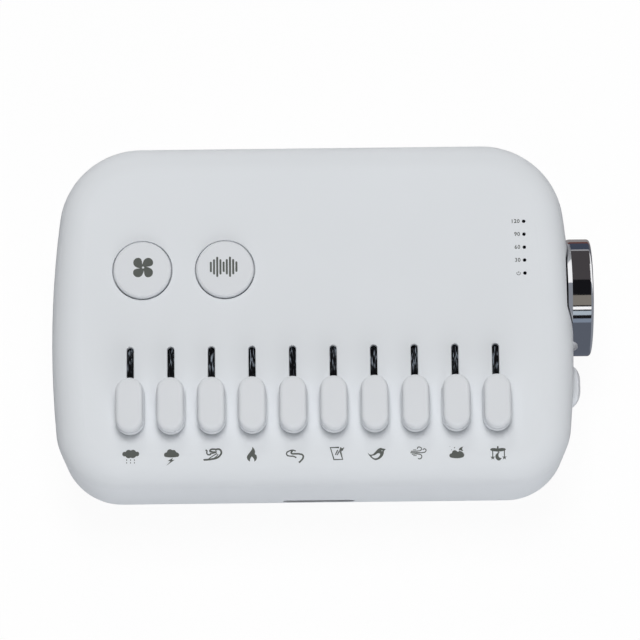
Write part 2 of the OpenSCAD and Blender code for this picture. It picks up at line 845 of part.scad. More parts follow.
module encoder_shaft() {
    flat_l = 5;
    end_x = knob_out_x - knob_skin - knob_face_in - 0.2;
    color([0.6, 0.6, 0.62]) {
        rod_x(shaft_d, side_board_front_x + shaft_in, end_x - flat_l, knob_y, knob_z);
        translate([end_x - flat_l - eps, knob_y, knob_z]) rotate([0, 90, 0])
            linear_extrude(flat_l + eps) shaft_outline(shaft_d);
    }
}

module encoder_body() {
    body_y = 12.4;
    body_z = 13.2;
    color([0.45, 0.46, 0.48]) difference() {
        union() {
            translate([side_board_front_x, knob_y - body_y / 2, knob_z - body_z / 2])
                cube([encoder_l, body_y, body_z]);
            rod_x(bush_d, encoder_front_x - eps, encoder_front_x + bush_l, knob_y, knob_z);
        }
        rod_x(shaft_d + 0.1, side_board_front_x + shaft_in - 0.3, pocket_x + bush_l, knob_y, knob_z);
    }
}

module encoder_nut() {
    across = 11;
    color([0.66, 0.66, 0.68]) translate([pocket_x, knob_y, knob_z]) rotate([0, 90, 0]) difference() {
        cylinder(d = across / cos(30), h = nut_t, $fn = 6);
        translate([0, 0, -1]) cylinder(d = bush_d + 0.04, h = nut_t + 2);
    }
}

// ---------- boards ----------

module slider_board() {
    notch_in = boss_d / 2 + 1;         // from a boss's axis inwards
    notch_out = 30;                    // and outwards, past the board's corner
    color([0.1, 0.32, 0.18]) translate([0, 0, board_z]) difference() {
        translate([-board_half_x, -board_half_y, 0]) cube([2 * board_half_x, 2 * board_half_y, board_t]);
        for (place = boss_places) translate([place[0], place[1], -1])
            mirror([place[0] < 0 ? 1 : 0, 0, 0]) mirror([0, place[1] < 0 ? 1 : 0, 0])
                translate([-notch_in, -notch_in, 0])
                    cube([notch_in + notch_out, notch_in + notch_out, board_t + 2]);
        at_places(post_places, -1) cylinder(d = post_hole_d + 0.4, h = board_t + 2);
    }
}

module main_board() {
    color([0.1, 0.32, 0.18]) {
        difference() {
            translate([-main_board_half_x, main_board_y0, main_board_z])
                cube([2 * main_board_half_x, main_board_y1 - main_board_y0, board_t]);
            at_places(main_posts, main_board_z - 1) cylinder(d = post_hole_d + 0.4, h = board_t + 2);
        }
        // amplifier, controller and two capacitors
        translate([0, 0, main_board_top_z]) {
            translate([-24, main_board_y0 + 8, 0]) cube([7, 7, 1.2]);
            translate([16, main_board_y0 + 5, 0]) cube([10, 10, 1.2]);
            for (x = [-12, 10]) translate([x, main_board_y0 + 6, 0]) cylinder(d = 6.3, h = 8);
        }
    }
}

module side_board() {
    color([0.1, 0.32, 0.18]) translate([side_board_x, side_board_y0, side_board_z0])
        cube([board_t, side_board_y1 - side_board_y0, side_board_z1 - side_board_z0]);
}

// A small screw that points up from the origin
module small_screw(length) {
    head_t = 1.4;
    translate([0, 0, -head_t]) difference() {
        cylinder(d = 4, h = head_t);
        cross_recess(2.4, 0.6, 0.7);
    }
    translate([0, 0, -eps]) cylinder(d = post_hole_d - 0.1, h = length);
}

module board_screws() {
    color([0.6, 0.6, 0.62]) {
        at_places(post_places, board_z) small_screw(board_t + pilot_depth - screw_slack);
        at_places(main_posts, main_board_top_z) mirror([0, 0, 1])
            small_screw(main_board_top_z - floor_z - screw_slack);
        at_speaker_ears(speaker_flange_z + speaker_flange_t) mirror([0, 0, 1])
            small_screw(speaker_flange_t + gasket_t - screw_slack);
    }
}

module usb_socket() {
    skin = 0.35;
    color([0.7, 0.7, 0.72]) translate([0, usb_mouth_y - usb_l, usb_z]) rotate([-90, 0, 0]) {
        difference() {
            linear_extrude(usb_l) rotate(90) slot_outline(usb_h, usb_w);
            translate([0, 0, 1]) linear_extrude(usb_l) rotate(90)
                slot_outline(usb_h - 2 * skin, usb_w - 2 * skin);
        }
        translate([-3.3, -0.35, 1 - eps]) cube([6.6, 0.7, usb_l - 2]);
    }
}

// A flat cable standing along Z, with a plug on each end
module ribbon(width, x, y, z0, z1) {
    thick = 0.8;
    plug = [width + 2, 4, plug_h];
    translate([x - width / 2, y, z0]) {
        cube([width, thick, z1 - z0]);
        for (z = [0, z1 - z0 - plug_h]) translate([-1, (thick - plug[1]) / 2, z]) cube(plug);
    }
}

module cable_harness() {
    lead_d = 1.4;
    lead_x = 1.6;
    speaker_plug_y = main_board_y0 + 1;
    side_ribbon_x = side_board_x - 8;
    side_ribbon_z = side_board_z1 - 8;
    color([0.75, 0.75, 0.76]) {
        ribbon(14, 24, main_board_y0 + 18, main_board_top_z, board_z);
        ribbon(8, side_ribbon_x, knob_y, side_ribbon_z, board_z);
        translate([side_ribbon_x, knob_y - 0.8, side_ribbon_z])
            cube([side_board_x - side_ribbon_x, 2.4, plug_h]);
        // speaker leads, from the speaker's terminals to their plug on the main board
        for (sx = [-1, 1]) translate([sx * lead_x, 0, 0])
            along_y(speaker_y + terminal_y, speaker_plug_y + 1, lead_z) circle(d = lead_d);
        translate([-lead_x - 2, speaker_plug_y, main_board_top_z]) cube([2 * lead_x + 4, 4, plug_h]);
    }
}

module timer_leds() {
    led = [1.6, 0.8, 0.7];
    color([0.9, 0.9, 0.8]) for (place = light_places)
        translate([place[0] - led[0] / 2, place[1] - led[1] / 2, board_top_z]) cube(led);
}

module light_guide() {
    foot_z = board_top_z + 1;
    bar_w = 3.2;
    bar_t = 2.2;
    bar_end = 2.5;
    bar_gap = 0.4;                     // between the bar and the ceiling
    pin_in = 0.15;
    color([0.5, 0.5, 0.52]) {
        at_places(light_places, foot_z) cylinder(d = 2.4, h = ceiling_z - 1 - foot_z);
        at_places(light_places, ceiling_z - 1) cylinder(d = light_d - 0.1, h = wall + 1 - pin_in);
        translate([light_x - bar_w / 2, light_y - bar_end, ceiling_z - bar_gap - bar_t])
            cube([bar_w, (light_count - 1) * light_pitch + 2 * bar_end, bar_t]);
    }
}

// ---------- loudspeaker ----------

module speaker_gasket() {
    inner_d = speaker_open_d + 1;
    color([0.05, 0.05, 0.05]) translate([0, speaker_y, floor_z]) difference() {
        cylinder(d = inner_d + 2 * gasket_ring, h = gasket_t);
        translate([0, 0, -1]) cylinder(d = inner_d, h = gasket_t + 2);
    }
}

module speaker_frame() {
    skin = 1;
    rim_r = speaker_open_d / 2;
    top_z = basket_top_z - speaker_flange_z;
    window = [14, 10, 4.6];
    terminal = [8, 4, 2];
    color([0.25, 0.25, 0.27]) translate([0, speaker_y, speaker_flange_z]) difference() {
        union() {
            cylinder(d = speaker_d, h = speaker_flange_t);
            for (a = [45:90:359]) rotate(a) {
                translate([0, -ear_d / 2, 0]) cube([speaker_ear_r, ear_d, speaker_flange_t]);
                translate([speaker_ear_r, 0, 0]) cylinder(d = ear_d, h = speaker_flange_t);
            }
            rotate_extrude() polygon([[0, 0], [rim_r + skin, 0], [magnet_d / 2 + skin, top_z], [0, top_z]]);
            translate([-terminal[0] / 2, terminal_y - terminal[1],
                       lead_z - speaker_flange_z - terminal[2] / 2])
                cube(terminal);
        }
        rotate_extrude() polygon([[0, -1], [rim_r, -1], [rim_r, eps],
                                  [magnet_d / 2, top_z - skin], [0, top_z - skin]]);
        translate([0, 0, top_z - 2 * skin]) cylinder(d = 12, h = 4);
        for (a = [45:90:359]) rotate(a) {
            translate([speaker_ear_r, 0, -1]) cylinder(d = post_hole_d + 0.4, h = speaker_flange_t + 2);
            translate([magnet_d / 2 - 4, -window[1] / 2, 3.5]) cube(window);
        }
    }
}

module speaker_magnet() {
    plate_t = 1.5;
    color([0.3, 0.3, 0.31]) translate([0, speaker_y, basket_top_z]) {
        cylinder(d = magnet_d - 2, h = plate_t);
        translate([0, 0, plate_t]) cylinder(d = magnet_d, h = magnet_h - 2 * plate_t);
        translate([0, 0, magnet_h - plate_t]) cylinder(d = magnet_d - 2, h = plate_t);
    }
}

// Paper cone with its roll surround, voice coil and dust cap
module speaker_cone() {
    rim_r = speaker_open_d / 2 - 0.8;
    roll_w = 3;
    coil_r = 5.2;
    depth = basket_h - 2.4;
    skin = 0.6;
    color([0.12, 0.12, 0.13]) translate([0, speaker_y, speaker_flange_z + 0.3]) rotate_extrude()
        polygon([[rim_r, 0], [rim_r, skin], [rim_r - roll_w, skin], [coil_r + skin, depth],
                 [coil_r + skin, depth + 3], [coil_r, depth + 3], [coil_r, depth - 1], [0, depth - 3],
                 [0, depth - 3 - skin], [coil_r, depth - 1 - skin], [rim_r - roll_w, 0]]);
}

// ---------- the assembly ----------

centred() top_cover();
centred() bottom_shell();
centred() front_vent();
centred() speaker_grille();
centred() rubber_feet();
centred() case_screws();
centred() slider_board();
centred() main_board();
centred() side_board();
centred() board_screws();
centred() usb_socket();
centred() cable_harness();
centred() slot_screen();
centred() tact_switches();
centred() timer_leds();
centred() light_guide();
centred() fan_button();
centred() sound_button();
centred() side_button();
centred() fan_plunger();
centred() sound_plunger();
centred() side_plunger();
centred() volume_knob();
centred() encoder_shaft();
centred() encoder_body();
centred() encoder_nut();
centred() speaker_gasket();
centred() speaker_frame();
centred() speaker_magnet();
centred() speaker_cone();
for (n = [1:slider_count]) {
    centred() slide_pot(slider_x(n));
    centred() slider_lever(slider_x(n));
    centred() slider_cap(slider_x(n));
}
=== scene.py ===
# White noise sound machine: finishes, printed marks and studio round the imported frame.
# Everything is in metres. +X is to the right, +Y to the rear and +Z up out of the panel.
import json
import math

import bmesh
import bpy
from mathutils import Matrix, Vector
from mathutils.bvhtree import BVHTree


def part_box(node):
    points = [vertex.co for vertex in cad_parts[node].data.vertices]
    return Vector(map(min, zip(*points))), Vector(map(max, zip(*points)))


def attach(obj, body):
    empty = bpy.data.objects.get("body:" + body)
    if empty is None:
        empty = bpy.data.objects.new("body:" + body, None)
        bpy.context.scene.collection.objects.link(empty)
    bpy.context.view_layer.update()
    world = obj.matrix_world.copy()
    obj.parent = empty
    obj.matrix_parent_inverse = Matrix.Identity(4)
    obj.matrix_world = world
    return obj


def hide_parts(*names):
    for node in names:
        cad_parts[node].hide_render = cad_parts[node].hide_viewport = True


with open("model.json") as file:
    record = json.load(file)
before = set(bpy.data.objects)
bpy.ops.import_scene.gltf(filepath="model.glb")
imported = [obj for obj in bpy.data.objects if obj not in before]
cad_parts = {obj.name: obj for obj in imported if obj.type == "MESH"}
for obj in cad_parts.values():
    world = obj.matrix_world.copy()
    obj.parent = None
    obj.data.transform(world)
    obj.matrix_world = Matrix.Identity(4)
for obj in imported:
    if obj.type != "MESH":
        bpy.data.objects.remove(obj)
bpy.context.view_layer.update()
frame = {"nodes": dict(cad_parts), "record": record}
nodes = frame["nodes"]
scene = bpy.context.scene
bodyOf = {node: body for body, held in frame["record"]["behaviour"]["bodies"].items() for node in held}
mmPerMetre = 1000
cutTolerance = 1e-7
print("frame loaded:", len(nodes), "nodes")


def cornersOf(node):
    return tuple(Vector(corner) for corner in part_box(node))


def middleOf(node):
    low, high = cornersOf(node)
    return (low + high) / 2


def addPiece(name, shape, material, node):
    # Makes a piece of the shape, which rides on the body that the node belongs to
    mesh = bpy.data.meshes.new(name)
    shape.to_mesh(mesh)
    shape.free()
    mesh.materials.append(material)
    piece = bpy.data.objects.new(name, mesh)
    scene.collection.objects.link(piece)
    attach(piece, bodyOf[node])
    return piece


view = {
    "elevation": 78.0,       # degrees above the horizon, looking from the front
    "azimuth": -0.485,
    "roll": 0.178,
    "distance": 1.2,
    "aim": (-0.001, -0.0036, 0.055),
    "pixelsPerMetre": 2793,  # at the aim point
    "pictureSize": 640,
    "sensorWidth": 36,       # millimetres
    "clipStart": 0.01,
}


def makeCamera(s):
    el, az, roll = (math.radians(s[k]) for k in ("elevation", "azimuth", "roll"))
    back = Vector((math.sin(az) * math.cos(el), -math.cos(az) * math.cos(el), math.sin(el)))
    right = Vector((math.cos(az), math.sin(az), 0))
    up = back.cross(right)
    rolledRight = math.cos(roll) * right - math.sin(roll) * up
    rolledUp = math.sin(roll) * right + math.cos(roll) * up
    turn = Matrix((rolledRight, rolledUp, back)).transposed()
    data = bpy.data.cameras.new("camera")
    data.sensor_width = s["sensorWidth"]
    data.lens = s["pixelsPerMetre"] * s["distance"] * data.sensor_width / s["pictureSize"]
    data.clip_start = s["clipStart"]
    camera = bpy.data.objects.new("camera", data)
    camera.matrix_world = Matrix.Translation(Vector(s["aim"]) + back * s["distance"]) @ turn.to_4x4()
    scene.collection.objects.link(camera)
    scene.camera = camera


makeCamera(view)


def newGroup(name, inputs, outputs):
    group = bpy.data.node_groups.new(name, "ShaderNodeTree")
    for label, value in inputs.items():
        socket = group.interface.new_socket(label, in_out="INPUT", socket_type="NodeSocketFloat")
        socket.default_value = value
    for label in outputs:
        group.interface.new_socket(label, in_out="OUTPUT", socket_type="NodeSocketFloat")
    return group, group.nodes.new("NodeGroupInput"), group.nodes.new("NodeGroupOutput")


def addNode(tree, kind, **settings):
    node = tree.nodes.new(kind)
    for key, value in settings.items():
        setattr(node, key, value)
    return node


grain = {
    "inputs": {"Pit scale": 2600, "Swell scale": 26, "Gloss spread": 0.08, "Tone spread": 0.03, "Gloss": 0.5},
    "outputs": ("Height", "Roughness", "Tone"),
    "pitDetail": 3,
    "swellDetail": 2,
    "middle": 0.5,           # of the swell, where gloss and tone are as set
}


def makeGrainGroup(s):
    # Spark-eroded mould texture: fine pits on a slow swell, with a matching change of gloss and tone
    group, into, out = newGroup("mouldGrain", s["inputs"], s["outputs"])
    link = group.links.new
    place = addNode(group, "ShaderNodeTexCoord")
    pits = addNode(group, "ShaderNodeTexNoise")
    pits.inputs["Detail"].default_value = s["pitDetail"]
    swell = addNode(group, "ShaderNodeTexNoise")
    swell.inputs["Detail"].default_value = s["swellDetail"]
    for noise, label in ((pits, "Pit scale"), (swell, "Swell scale")):
        link(place.outputs["Object"], noise.inputs["Vector"])
        link(into.outputs[label], noise.inputs["Scale"])
    link(pits.outputs["Fac"], out.inputs["Height"])
    shift = addNode(group, "ShaderNodeMath", operation="SUBTRACT")
    shift.inputs[1].default_value = s["middle"]
    link(swell.outputs["Fac"], shift.inputs[0])
    gloss = addNode(group, "ShaderNodeMath", operation="MULTIPLY_ADD")
    link(shift.outputs[0], gloss.inputs[0])
    link(into.outputs["Gloss spread"], gloss.inputs[1])
    link(into.outputs["Gloss"], gloss.inputs[2])
    link(gloss.outputs[0], out.inputs["Roughness"])
    tone = addNode(group, "ShaderNodeMath", operation="MULTIPLY_ADD")
    link(shift.outputs[0], tone.inputs[0])
    link(into.outputs["Tone spread"], tone.inputs[1])
    tone.inputs[2].default_value = s["middle"]
    link(tone.outputs[0], out.inputs["Tone"])
    return group


grainGroup = makeGrainGroup(grain)


def newMaterial(name):
    material = bpy.data.materials.new(name)
    material.use_nodes = True
    return material, material.node_tree, material.node_tree.nodes["Principled BSDF"]


def grainMaterial(name, s):
    # A moulded or sprayed surface: s holds its colours, gloss and grain
    material, tree, shader = newMaterial(name)
    link = tree.links.new
    texture = addNode(tree, "ShaderNodeGroup", node_tree=grainGroup)
    for label, key in (("Pit scale", "pitScale"), ("Swell scale", "swellScale"),
                       ("Gloss spread", "glossSpread"), ("Tone spread", "toneSpread"), ("Gloss", "gloss")):
        texture.inputs[label].default_value = s[key]
    colour = addNode(tree, "ShaderNodeMix", data_type="RGBA")
    colour.inputs["A"].default_value = (*s["darker"], 1)
    colour.inputs["B"].default_value = (*s["lighter"], 1)
    link(texture.outputs["Tone"], colour.inputs["Factor"])
    link(colour.outputs["Result"], shader.inputs["Base Color"])
    link(texture.outputs["Roughness"], shader.inputs["Roughness"])
    bump = addNode(tree, "ShaderNodeBump")
    bump.inputs["Strength"].default_value = s["bump"]
    bump.inputs["Distance"].default_value = s["bumpDepth"]
    link(texture.outputs["Height"], bump.inputs["Height"])
    link(bump.outputs["Normal"], shader.inputs["Normal"])
    shader.inputs["Metallic"].default_value = s.get("metallic", 0)
    shader.inputs["Specular IOR Level"].default_value = s.get("specular", 0.5)
    return material


def around(colour, spread):
    # The darker and the lighter end of a colour that varies by spread
    return {"darker": [c * (1 - spread) for c in colour],
            "lighter": [min(c * (1 + spread), 1) for c in colour]}


housingWhite = {**around((0.745, 0.77, 0.80), 0.03), "pitScale": 1500, "swellScale": 22, "glossSpread": 0.1,
                "toneSpread": 0.8, "gloss": 0.52, "bump": 0.5, "bumpDepth": 0.00003}
keyWhite = {**around((0.725, 0.745, 0.775), 0.02), "pitScale": 3400, "swellScale": 60, "glossSpread": 0.08,
            "toneSpread": 0.8, "gloss": 0.42, "bump": 0.12, "bumpDepth": 0.00001}
blackPlastic = {**around((0.012, 0.012, 0.014), 0.3), "pitScale": 1800, "swellScale": 90, "glossSpread": 0.15,
                "toneSpread": 1, "gloss": 0.45, "bump": 0.3, "bumpDepth": 0.00002}
sliderBlack = {**around((0.006, 0.007, 0.009), 0.4), "pitScale": 1500, "swellScale": 700, "glossSpread": 0.3,
               "toneSpread": 1, "gloss": 0.28, "bump": 0.2, "bumpDepth": 0.00002}
zincPlate = {**around((0.52, 0.52, 0.53), 0.1), "pitScale": 900, "swellScale": 150, "glossSpread": 0.2,
             "toneSpread": 1, "gloss": 0.3, "bump": 0.15, "bumpDepth": 0.00002, "metallic": 1}
darkRubber = {**around((0.016, 0.016, 0.017), 0.2), "pitScale": 1600, "swellScale": 120, "glossSpread": 0.1,
              "toneSpread": 1, "gloss": 0.75, "bump": 0.4, "bumpDepth": 0.00003}
speakerSteel = {**around((0.03, 0.03, 0.033), 0.2), "pitScale": 700, "swellScale": 60, "glossSpread": 0.15,
                "toneSpread": 1, "gloss": 0.4, "bump": 0.2, "bumpDepth": 0.00003}
cableGrey = {**around((0.42, 0.42, 0.43), 0.08), "pitScale": 900, "swellScale": 90, "glossSpread": 0.1,
             "toneSpread": 1, "gloss": 0.4, "bump": 0.1, "bumpDepth": 0.00002}
printInk = {**around((0.104, 0.112, 0.103), 0.1), "pitScale": 4200, "swellScale": 500, "glossSpread": 0.1,
            "toneSpread": 1, "gloss": 0.5, "bump": 0.1, "bumpDepth": 0.000005}
smokedLens = {**around((0.006, 0.006, 0.008), 0.3), "pitScale": 900, "swellScale": 300, "glossSpread": 0.05,
              "toneSpread": 1, "gloss": 0.12, "bump": 0.02, "bumpDepth": 0.00001}
ledLens = {**around((0.68, 0.62, 0.38), 0.08), "pitScale": 900, "swellScale": 500, "glossSpread": 0.05,
           "toneSpread": 1, "gloss": 0.2, "bump": 0.05, "bumpDepth": 0.00001}


def chromeMaterial():
    s = {"colour": (0.72, 0.72, 0.735), "hazeScale": 55, "low": 0.03, "high": 0.09}
    material, tree, shader = newMaterial("chrome")
    shader.inputs["Base Color"].default_value = (*s["colour"], 1)
    shader.inputs["Metallic"].default_value = 1
    place = addNode(tree, "ShaderNodeTexCoord")
    haze = addNode(tree, "ShaderNodeTexNoise")
    haze.inputs["Scale"].default_value = s["hazeScale"]
    spread = addNode(tree, "ShaderNodeMapRange")
    spread.inputs["To Min"].default_value = s["low"]
    spread.inputs["To Max"].default_value = s["high"]
    tree.links.new(place.outputs["Object"], haze.inputs["Vector"])
    tree.links.new(haze.outputs["Fac"], spread.inputs["Value"])
    tree.links.new(spread.outputs["Result"], shader.inputs["Roughness"])
    return material


def boardMaterial():
    # Green solder mask over copper tracks that run in short straight stretches
    s = {"mask": (0.012, 0.075, 0.03), "overCopper": (0.03, 0.14, 0.055), "tracks": 420, "stagger": 0.37,
         "gap": 0.12, "gloss": 0.25}
    material, tree, shader = newMaterial("circuitBoard")
    link = tree.links.new
    place = addNode(tree, "ShaderNodeTexCoord")
    cells = addNode(tree, "ShaderNodeTexBrick", offset=s["stagger"])
    cells.inputs["Scale"].default_value = s["tracks"]
    cells.inputs["Mortar Size"].default_value = s["gap"]
    cells.inputs["Color1"].default_value = (*s["overCopper"], 1)
    cells.inputs["Color2"].default_value = (*s["mask"], 1)
    cells.inputs["Mortar"].default_value = (*s["mask"], 1)
    link(place.outputs["Object"], cells.inputs["Vector"])
    link(cells.outputs["Color"], shader.inputs["Base Color"])
    shader.inputs["Roughness"].default_value = s["gloss"]
    return material


fibres = {"detail": 5, "darkest": 0.6, "lightest": 1.5, "bump": 0.6, "bumpDepth": 0.0001, "roughness": 0.95,
          "sheen": 0.2}


def fibreMaterial(name, colour, scale, s):
    # Felt or paper: s holds what the two have in common
    material, tree, shader = newMaterial(name)
    link = tree.links.new
    place = addNode(tree, "ShaderNodeTexCoord")
    pile = addNode(tree, "ShaderNodeTexNoise")
    pile.inputs["Scale"].default_value = scale
    pile.inputs["Detail"].default_value = s["detail"]
    shade = addNode(tree, "ShaderNodeMix", data_type="RGBA")
    shade.inputs["A"].default_value = (*[c * s["darkest"] for c in colour], 1)
    shade.inputs["B"].default_value = (*[c * s["lightest"] for c in colour], 1)
    bump = addNode(tree, "ShaderNodeBump")
    bump.inputs["Strength"].default_value = s["bump"]
    bump.inputs["Distance"].default_value = s["bumpDepth"]
    link(place.outputs["Object"], pile.inputs["Vector"])
    link(pile.outputs["Fac"], shade.inputs["Factor"])
    link(shade.outputs["Result"], shader.inputs["Base Color"])
    link(pile.outputs["Fac"], bump.inputs["Height"])
    link(bump.outputs["Normal"], shader.inputs["Normal"])
    shader.inputs["Roughness"].default_value = s["roughness"]
    shader.inputs["Sheen Weight"].default_value = s["sheen"]
    return material


film = {
    "colour": (0.004, 0.004, 0.005),
    # painted sheen: a pale bluish colour mixed into the film's streaks, which stands in for reflections
    "paintedSheen": (0.36, 0.41, 0.48),
    "across": 2600,          # scale of the streaks across the slots
    "along": 320,
    "detail": 4,
    # the streak noise between these two values gives the painted sheen; its least share is at the front of the
    # slots
    "sheenFrom": 0.53,
    "sheenTo": 0.66,
    "leastSheen": 0.12,
    "sheenStart": 0.0125,      # how far behind the middle of a cap at rest the painted sheen begins to grow
    "sheenFull": 0.016,
    "gloss": 0.25,
    "specular": 0.2,
    "bump": 0.6,
    "bumpDepth": 0.0001,
}


def filmMaterial(s):
    # Black polyester film with painted sheen: pale bluish streaks in its colour stand in for reflections, most
    # of all near the rear ends of the slots
    material, tree, shader = newMaterial("slotFilm")
    link = tree.links.new
    shader.inputs["Roughness"].default_value = s["gloss"]
    shader.inputs["Specular IOR Level"].default_value = s["specular"]
    place = addNode(tree, "ShaderNodeTexCoord")
    stretch = addNode(tree, "ShaderNodeMapping")
    stretch.inputs["Scale"].default_value = (s["across"], s["along"], s["along"])
    streakNoise = addNode(tree, "ShaderNodeTexNoise")
    streakNoise.inputs["Scale"].default_value = 1
    streakNoise.inputs["Detail"].default_value = s["detail"]
    link(place.outputs["Object"], stretch.inputs["Vector"])
    link(stretch.outputs["Vector"], streakNoise.inputs["Vector"])
    bump = addNode(tree, "ShaderNodeBump")
    bump.inputs["Strength"].default_value = s["bump"]
    bump.inputs["Distance"].default_value = s["bumpDepth"]
    link(streakNoise.outputs["Fac"], bump.inputs["Height"])
    link(bump.outputs["Normal"], shader.inputs["Normal"])
    # painted sheen: where the streak noise is high, and more towards the rear of each slot, the black film is
    # painted pale blue
    sheenMask = addNode(tree, "ShaderNodeMapRange")
    sheenMask.inputs["From Min"].default_value = s["sheenFrom"]
    sheenMask.inputs["From Max"].default_value = s["sheenTo"]
    shade = addNode(tree, "ShaderNodeMix", data_type="RGBA")
    shade.inputs["A"].default_value = (*s["colour"], 1)
    shade.inputs["B"].default_value = (*s["paintedSheen"], 1)
    axes = addNode(tree, "ShaderNodeSeparateXYZ")
    sheenReach = addNode(tree, "ShaderNodeMapRange")
    capMiddle = middleOf("slider_cap_01")
    sheenReach.inputs["From Min"].default_value = capMiddle.y + s["sheenStart"]
    sheenReach.inputs["From Max"].default_value = capMiddle.y + s["sheenFull"]
    sheenReach.inputs["To Min"].default_value = s["leastSheen"]
    share = addNode(tree, "ShaderNodeMath", operation="MULTIPLY")
    link(place.outputs["Object"], axes.inputs[0])
    link(axes.outputs["Y"], sheenReach.inputs["Value"])
    link(streakNoise.outputs["Fac"], sheenMask.inputs["Value"])
    link(sheenMask.outputs["Result"], share.inputs[0])
    link(sheenReach.outputs["Result"], share.inputs[1])
    link(share.outputs[0], shade.inputs["Factor"])
    link(shade.outputs["Result"], shader.inputs["Base Color"])
    return material


finishes = {
    "white_housing": grainMaterial("housingWhite", housingWhite),
    "white_keys": grainMaterial("keyWhite", keyWhite),
    "chrome_knob": chromeMaterial(),
    "black_plastic": grainMaterial("blackPlastic", blackPlastic),
    "black_slider_parts": grainMaterial("sliderBlack", sliderBlack),
    "plated_steel": grainMaterial("zincPlate", zincPlate),
    "circuit_board": boardMaterial(),
    "dark_rubber": grainMaterial("darkRubber", darkRubber),
    "black_felt": fibreMaterial("blackFelt", (0.004, 0.004, 0.005), 2400, fibres),
    "smoked_lens": grainMaterial("smokedLens", smokedLens),
    "led_lens": grainMaterial("ledLens", ledLens),
    "cable_jacket": grainMaterial("cableGrey", cableGrey),
    "speaker_steel": grainMaterial("speakerSteel", speakerSteel),
    "speaker_paper": fibreMaterial("speakerPaper", (0.02, 0.02, 0.022), 900, fibres),
}
inkMaterial = grainMaterial("printInk", printInk)

for part in frame["record"]["subparts"]:
    piece = nodes[part["node"]]
    piece.data.materials.clear()
    piece.data.materials.append(finishes[part["material_slot"]])
slotFilm = filmMaterial(film)
nodes["slot_screen"].data.materials[0] = slotFilm
print("finishes set:", len(finishes))


# The slider caps and the push buttons, with the rounded edges of the real mouldings
sliderCaps = [f"slider_cap_{n:02d}" for n in range(1, 11)]

capShape = {
    "skirtHeight": 0.0036,
    "step": 0.00025,         # from the skirt in to the upper part
    "topRound": 0.0017,
    "topSteps": 7,
    "skirtRound": 0.0002,
    "skirtSteps": 2,
    "rearTrim": 0.0009,      # how much shorter the moulding is than its envelope, at the rear
    "endSteps": 14,
    "sharpFrom": 40,         # degrees
}

buttonShape = {
    "diameter": 0.0208,
    "thick": 0.00425,        # from its face to its flange
    "roll": 0.0012,          # radius of the rolled edge
    "rollSteps": 6,
    "flange": 0.0244,
    "flangeThick": 0.0013,
    "stem": 0.005,
    "segments": 96,
    "sharpFrom": 40,
}

sideShape = {
    "height": 0.0086,
    "length": 0.0152,
    "thick": 0.00759,        # from its tip to the lugs' inner faces
    "endDrop": 0.003,        # how far the crown falls towards the two ends
    "sideDrop": 0.001,
    "crownPower": 3.6,
    "cuts": (12, 22),
    "lugs": (0.012, 0.009, 0.0013),    # height, length and thickness
    "stemDiameter": 0.003,
    "stemSegments": 24,
    "endSteps": 14,
    "sharpFrom": 40,
}


roundEnds = {"bevel": 0.4999, "merge": 0.0004}    # shares of the width; corners that nearly meet are merged


def pill(width, length, height, endSteps):
    # An upright bar with round ends, round the origin
    shape = bmesh.new()
    bmesh.ops.create_cube(shape, size=1)
    bmesh.ops.scale(shape, vec=(width, length, height), verts=shape.verts)
    upright = [e for e in shape.edges if abs(e.verts[0].co.z - e.verts[1].co.z) > height / 2]
    bmesh.ops.bevel(shape, geom=upright, offset=width * roundEnds["bevel"], segments=endSteps, affect="EDGES",
                    profile=0.5, material=-1)
    bmesh.ops.remove_doubles(shape, verts=shape.verts, dist=width * roundEnds["merge"])
    return shape


def finishKey(node, shape, sharpFrom):
    # Makes a piece of the shape and lets it stand for its node
    bmesh.ops.recalc_face_normals(shape, faces=shape.faces)
    piece = addPiece(f"soft_{node}", shape, finishes["white_keys"], node)
    piece.data.shade_smooth()
    piece.data.set_sharp_from_angle(angle=math.radians(sharpFrom))
    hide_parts(node)


def makeButton(node, s):
    # A low round key with a rolled edge, on the flange and stem of its node
    low, high = cornersOf(node)
    flangeTop = high.z - s["thick"]
    stemTop = flangeTop - s["flangeThick"]
    shape = bmesh.new()
    for diameter, foot, top in ((s["stem"], low.z, stemTop), (s["flange"], stemTop, flangeTop),
                                (s["diameter"], flangeTop, high.z)):
        disc = bmesh.ops.create_cone(shape, cap_ends=True, segments=s["segments"], radius1=diameter / 2,
                                     radius2=diameter / 2, depth=top - foot)["verts"]
        bmesh.ops.translate(shape, vec=(0, 0, (foot + top) / 2), verts=disc)
    face = max(shape.faces, key=lambda f: f.calc_center_median().z)
    bmesh.ops.bevel(shape, geom=list(face.edges), offset=s["roll"], segments=s["rollSteps"], affect="EDGES",
                    profile=0.5, material=-1)
    bmesh.ops.translate(shape, vec=((low.x + high.x) / 2, (low.y + high.y) / 2, 0), verts=shape.verts)
    finishKey(node, shape, s["sharpFrom"])


def makeCap(node, s):
    # A long key with a stepped-in upper part
    low, high = cornersOf(node)
    high.y -= s["rearTrim"]
    size = high - low
    shape = pill(size.x, size.y, s["skirtHeight"], s["endSteps"])
    top = max(shape.faces, key=lambda f: f.calc_center_median().z)
    skirtRim = list(top.edges)
    bmesh.ops.inset_region(shape, faces=[top], thickness=s["step"])
    upper = bmesh.ops.extrude_discrete_faces(shape, faces=[top])["faces"][0]
    bmesh.ops.translate(shape, vec=(0, 0, size.z - s["skirtHeight"]), verts=upper.verts)
    bmesh.ops.bevel(shape, geom=list(upper.edges), offset=s["topRound"], segments=s["topSteps"], affect="EDGES",
                    profile=0.5, material=-1)
    bmesh.ops.bevel(shape, geom=[e for e in skirtRim if e.is_valid], offset=s["skirtRound"],
                    segments=s["skirtSteps"], affect="EDGES", profile=0.5, material=-1)
    place = ((low.x + high.x) / 2, (low.y + high.y) / 2, low.z + s["skirtHeight"] / 2)
    bmesh.ops.translate(shape, vec=place, verts=shape.verts)
    finishKey(node, shape, s["sharpFrom"])


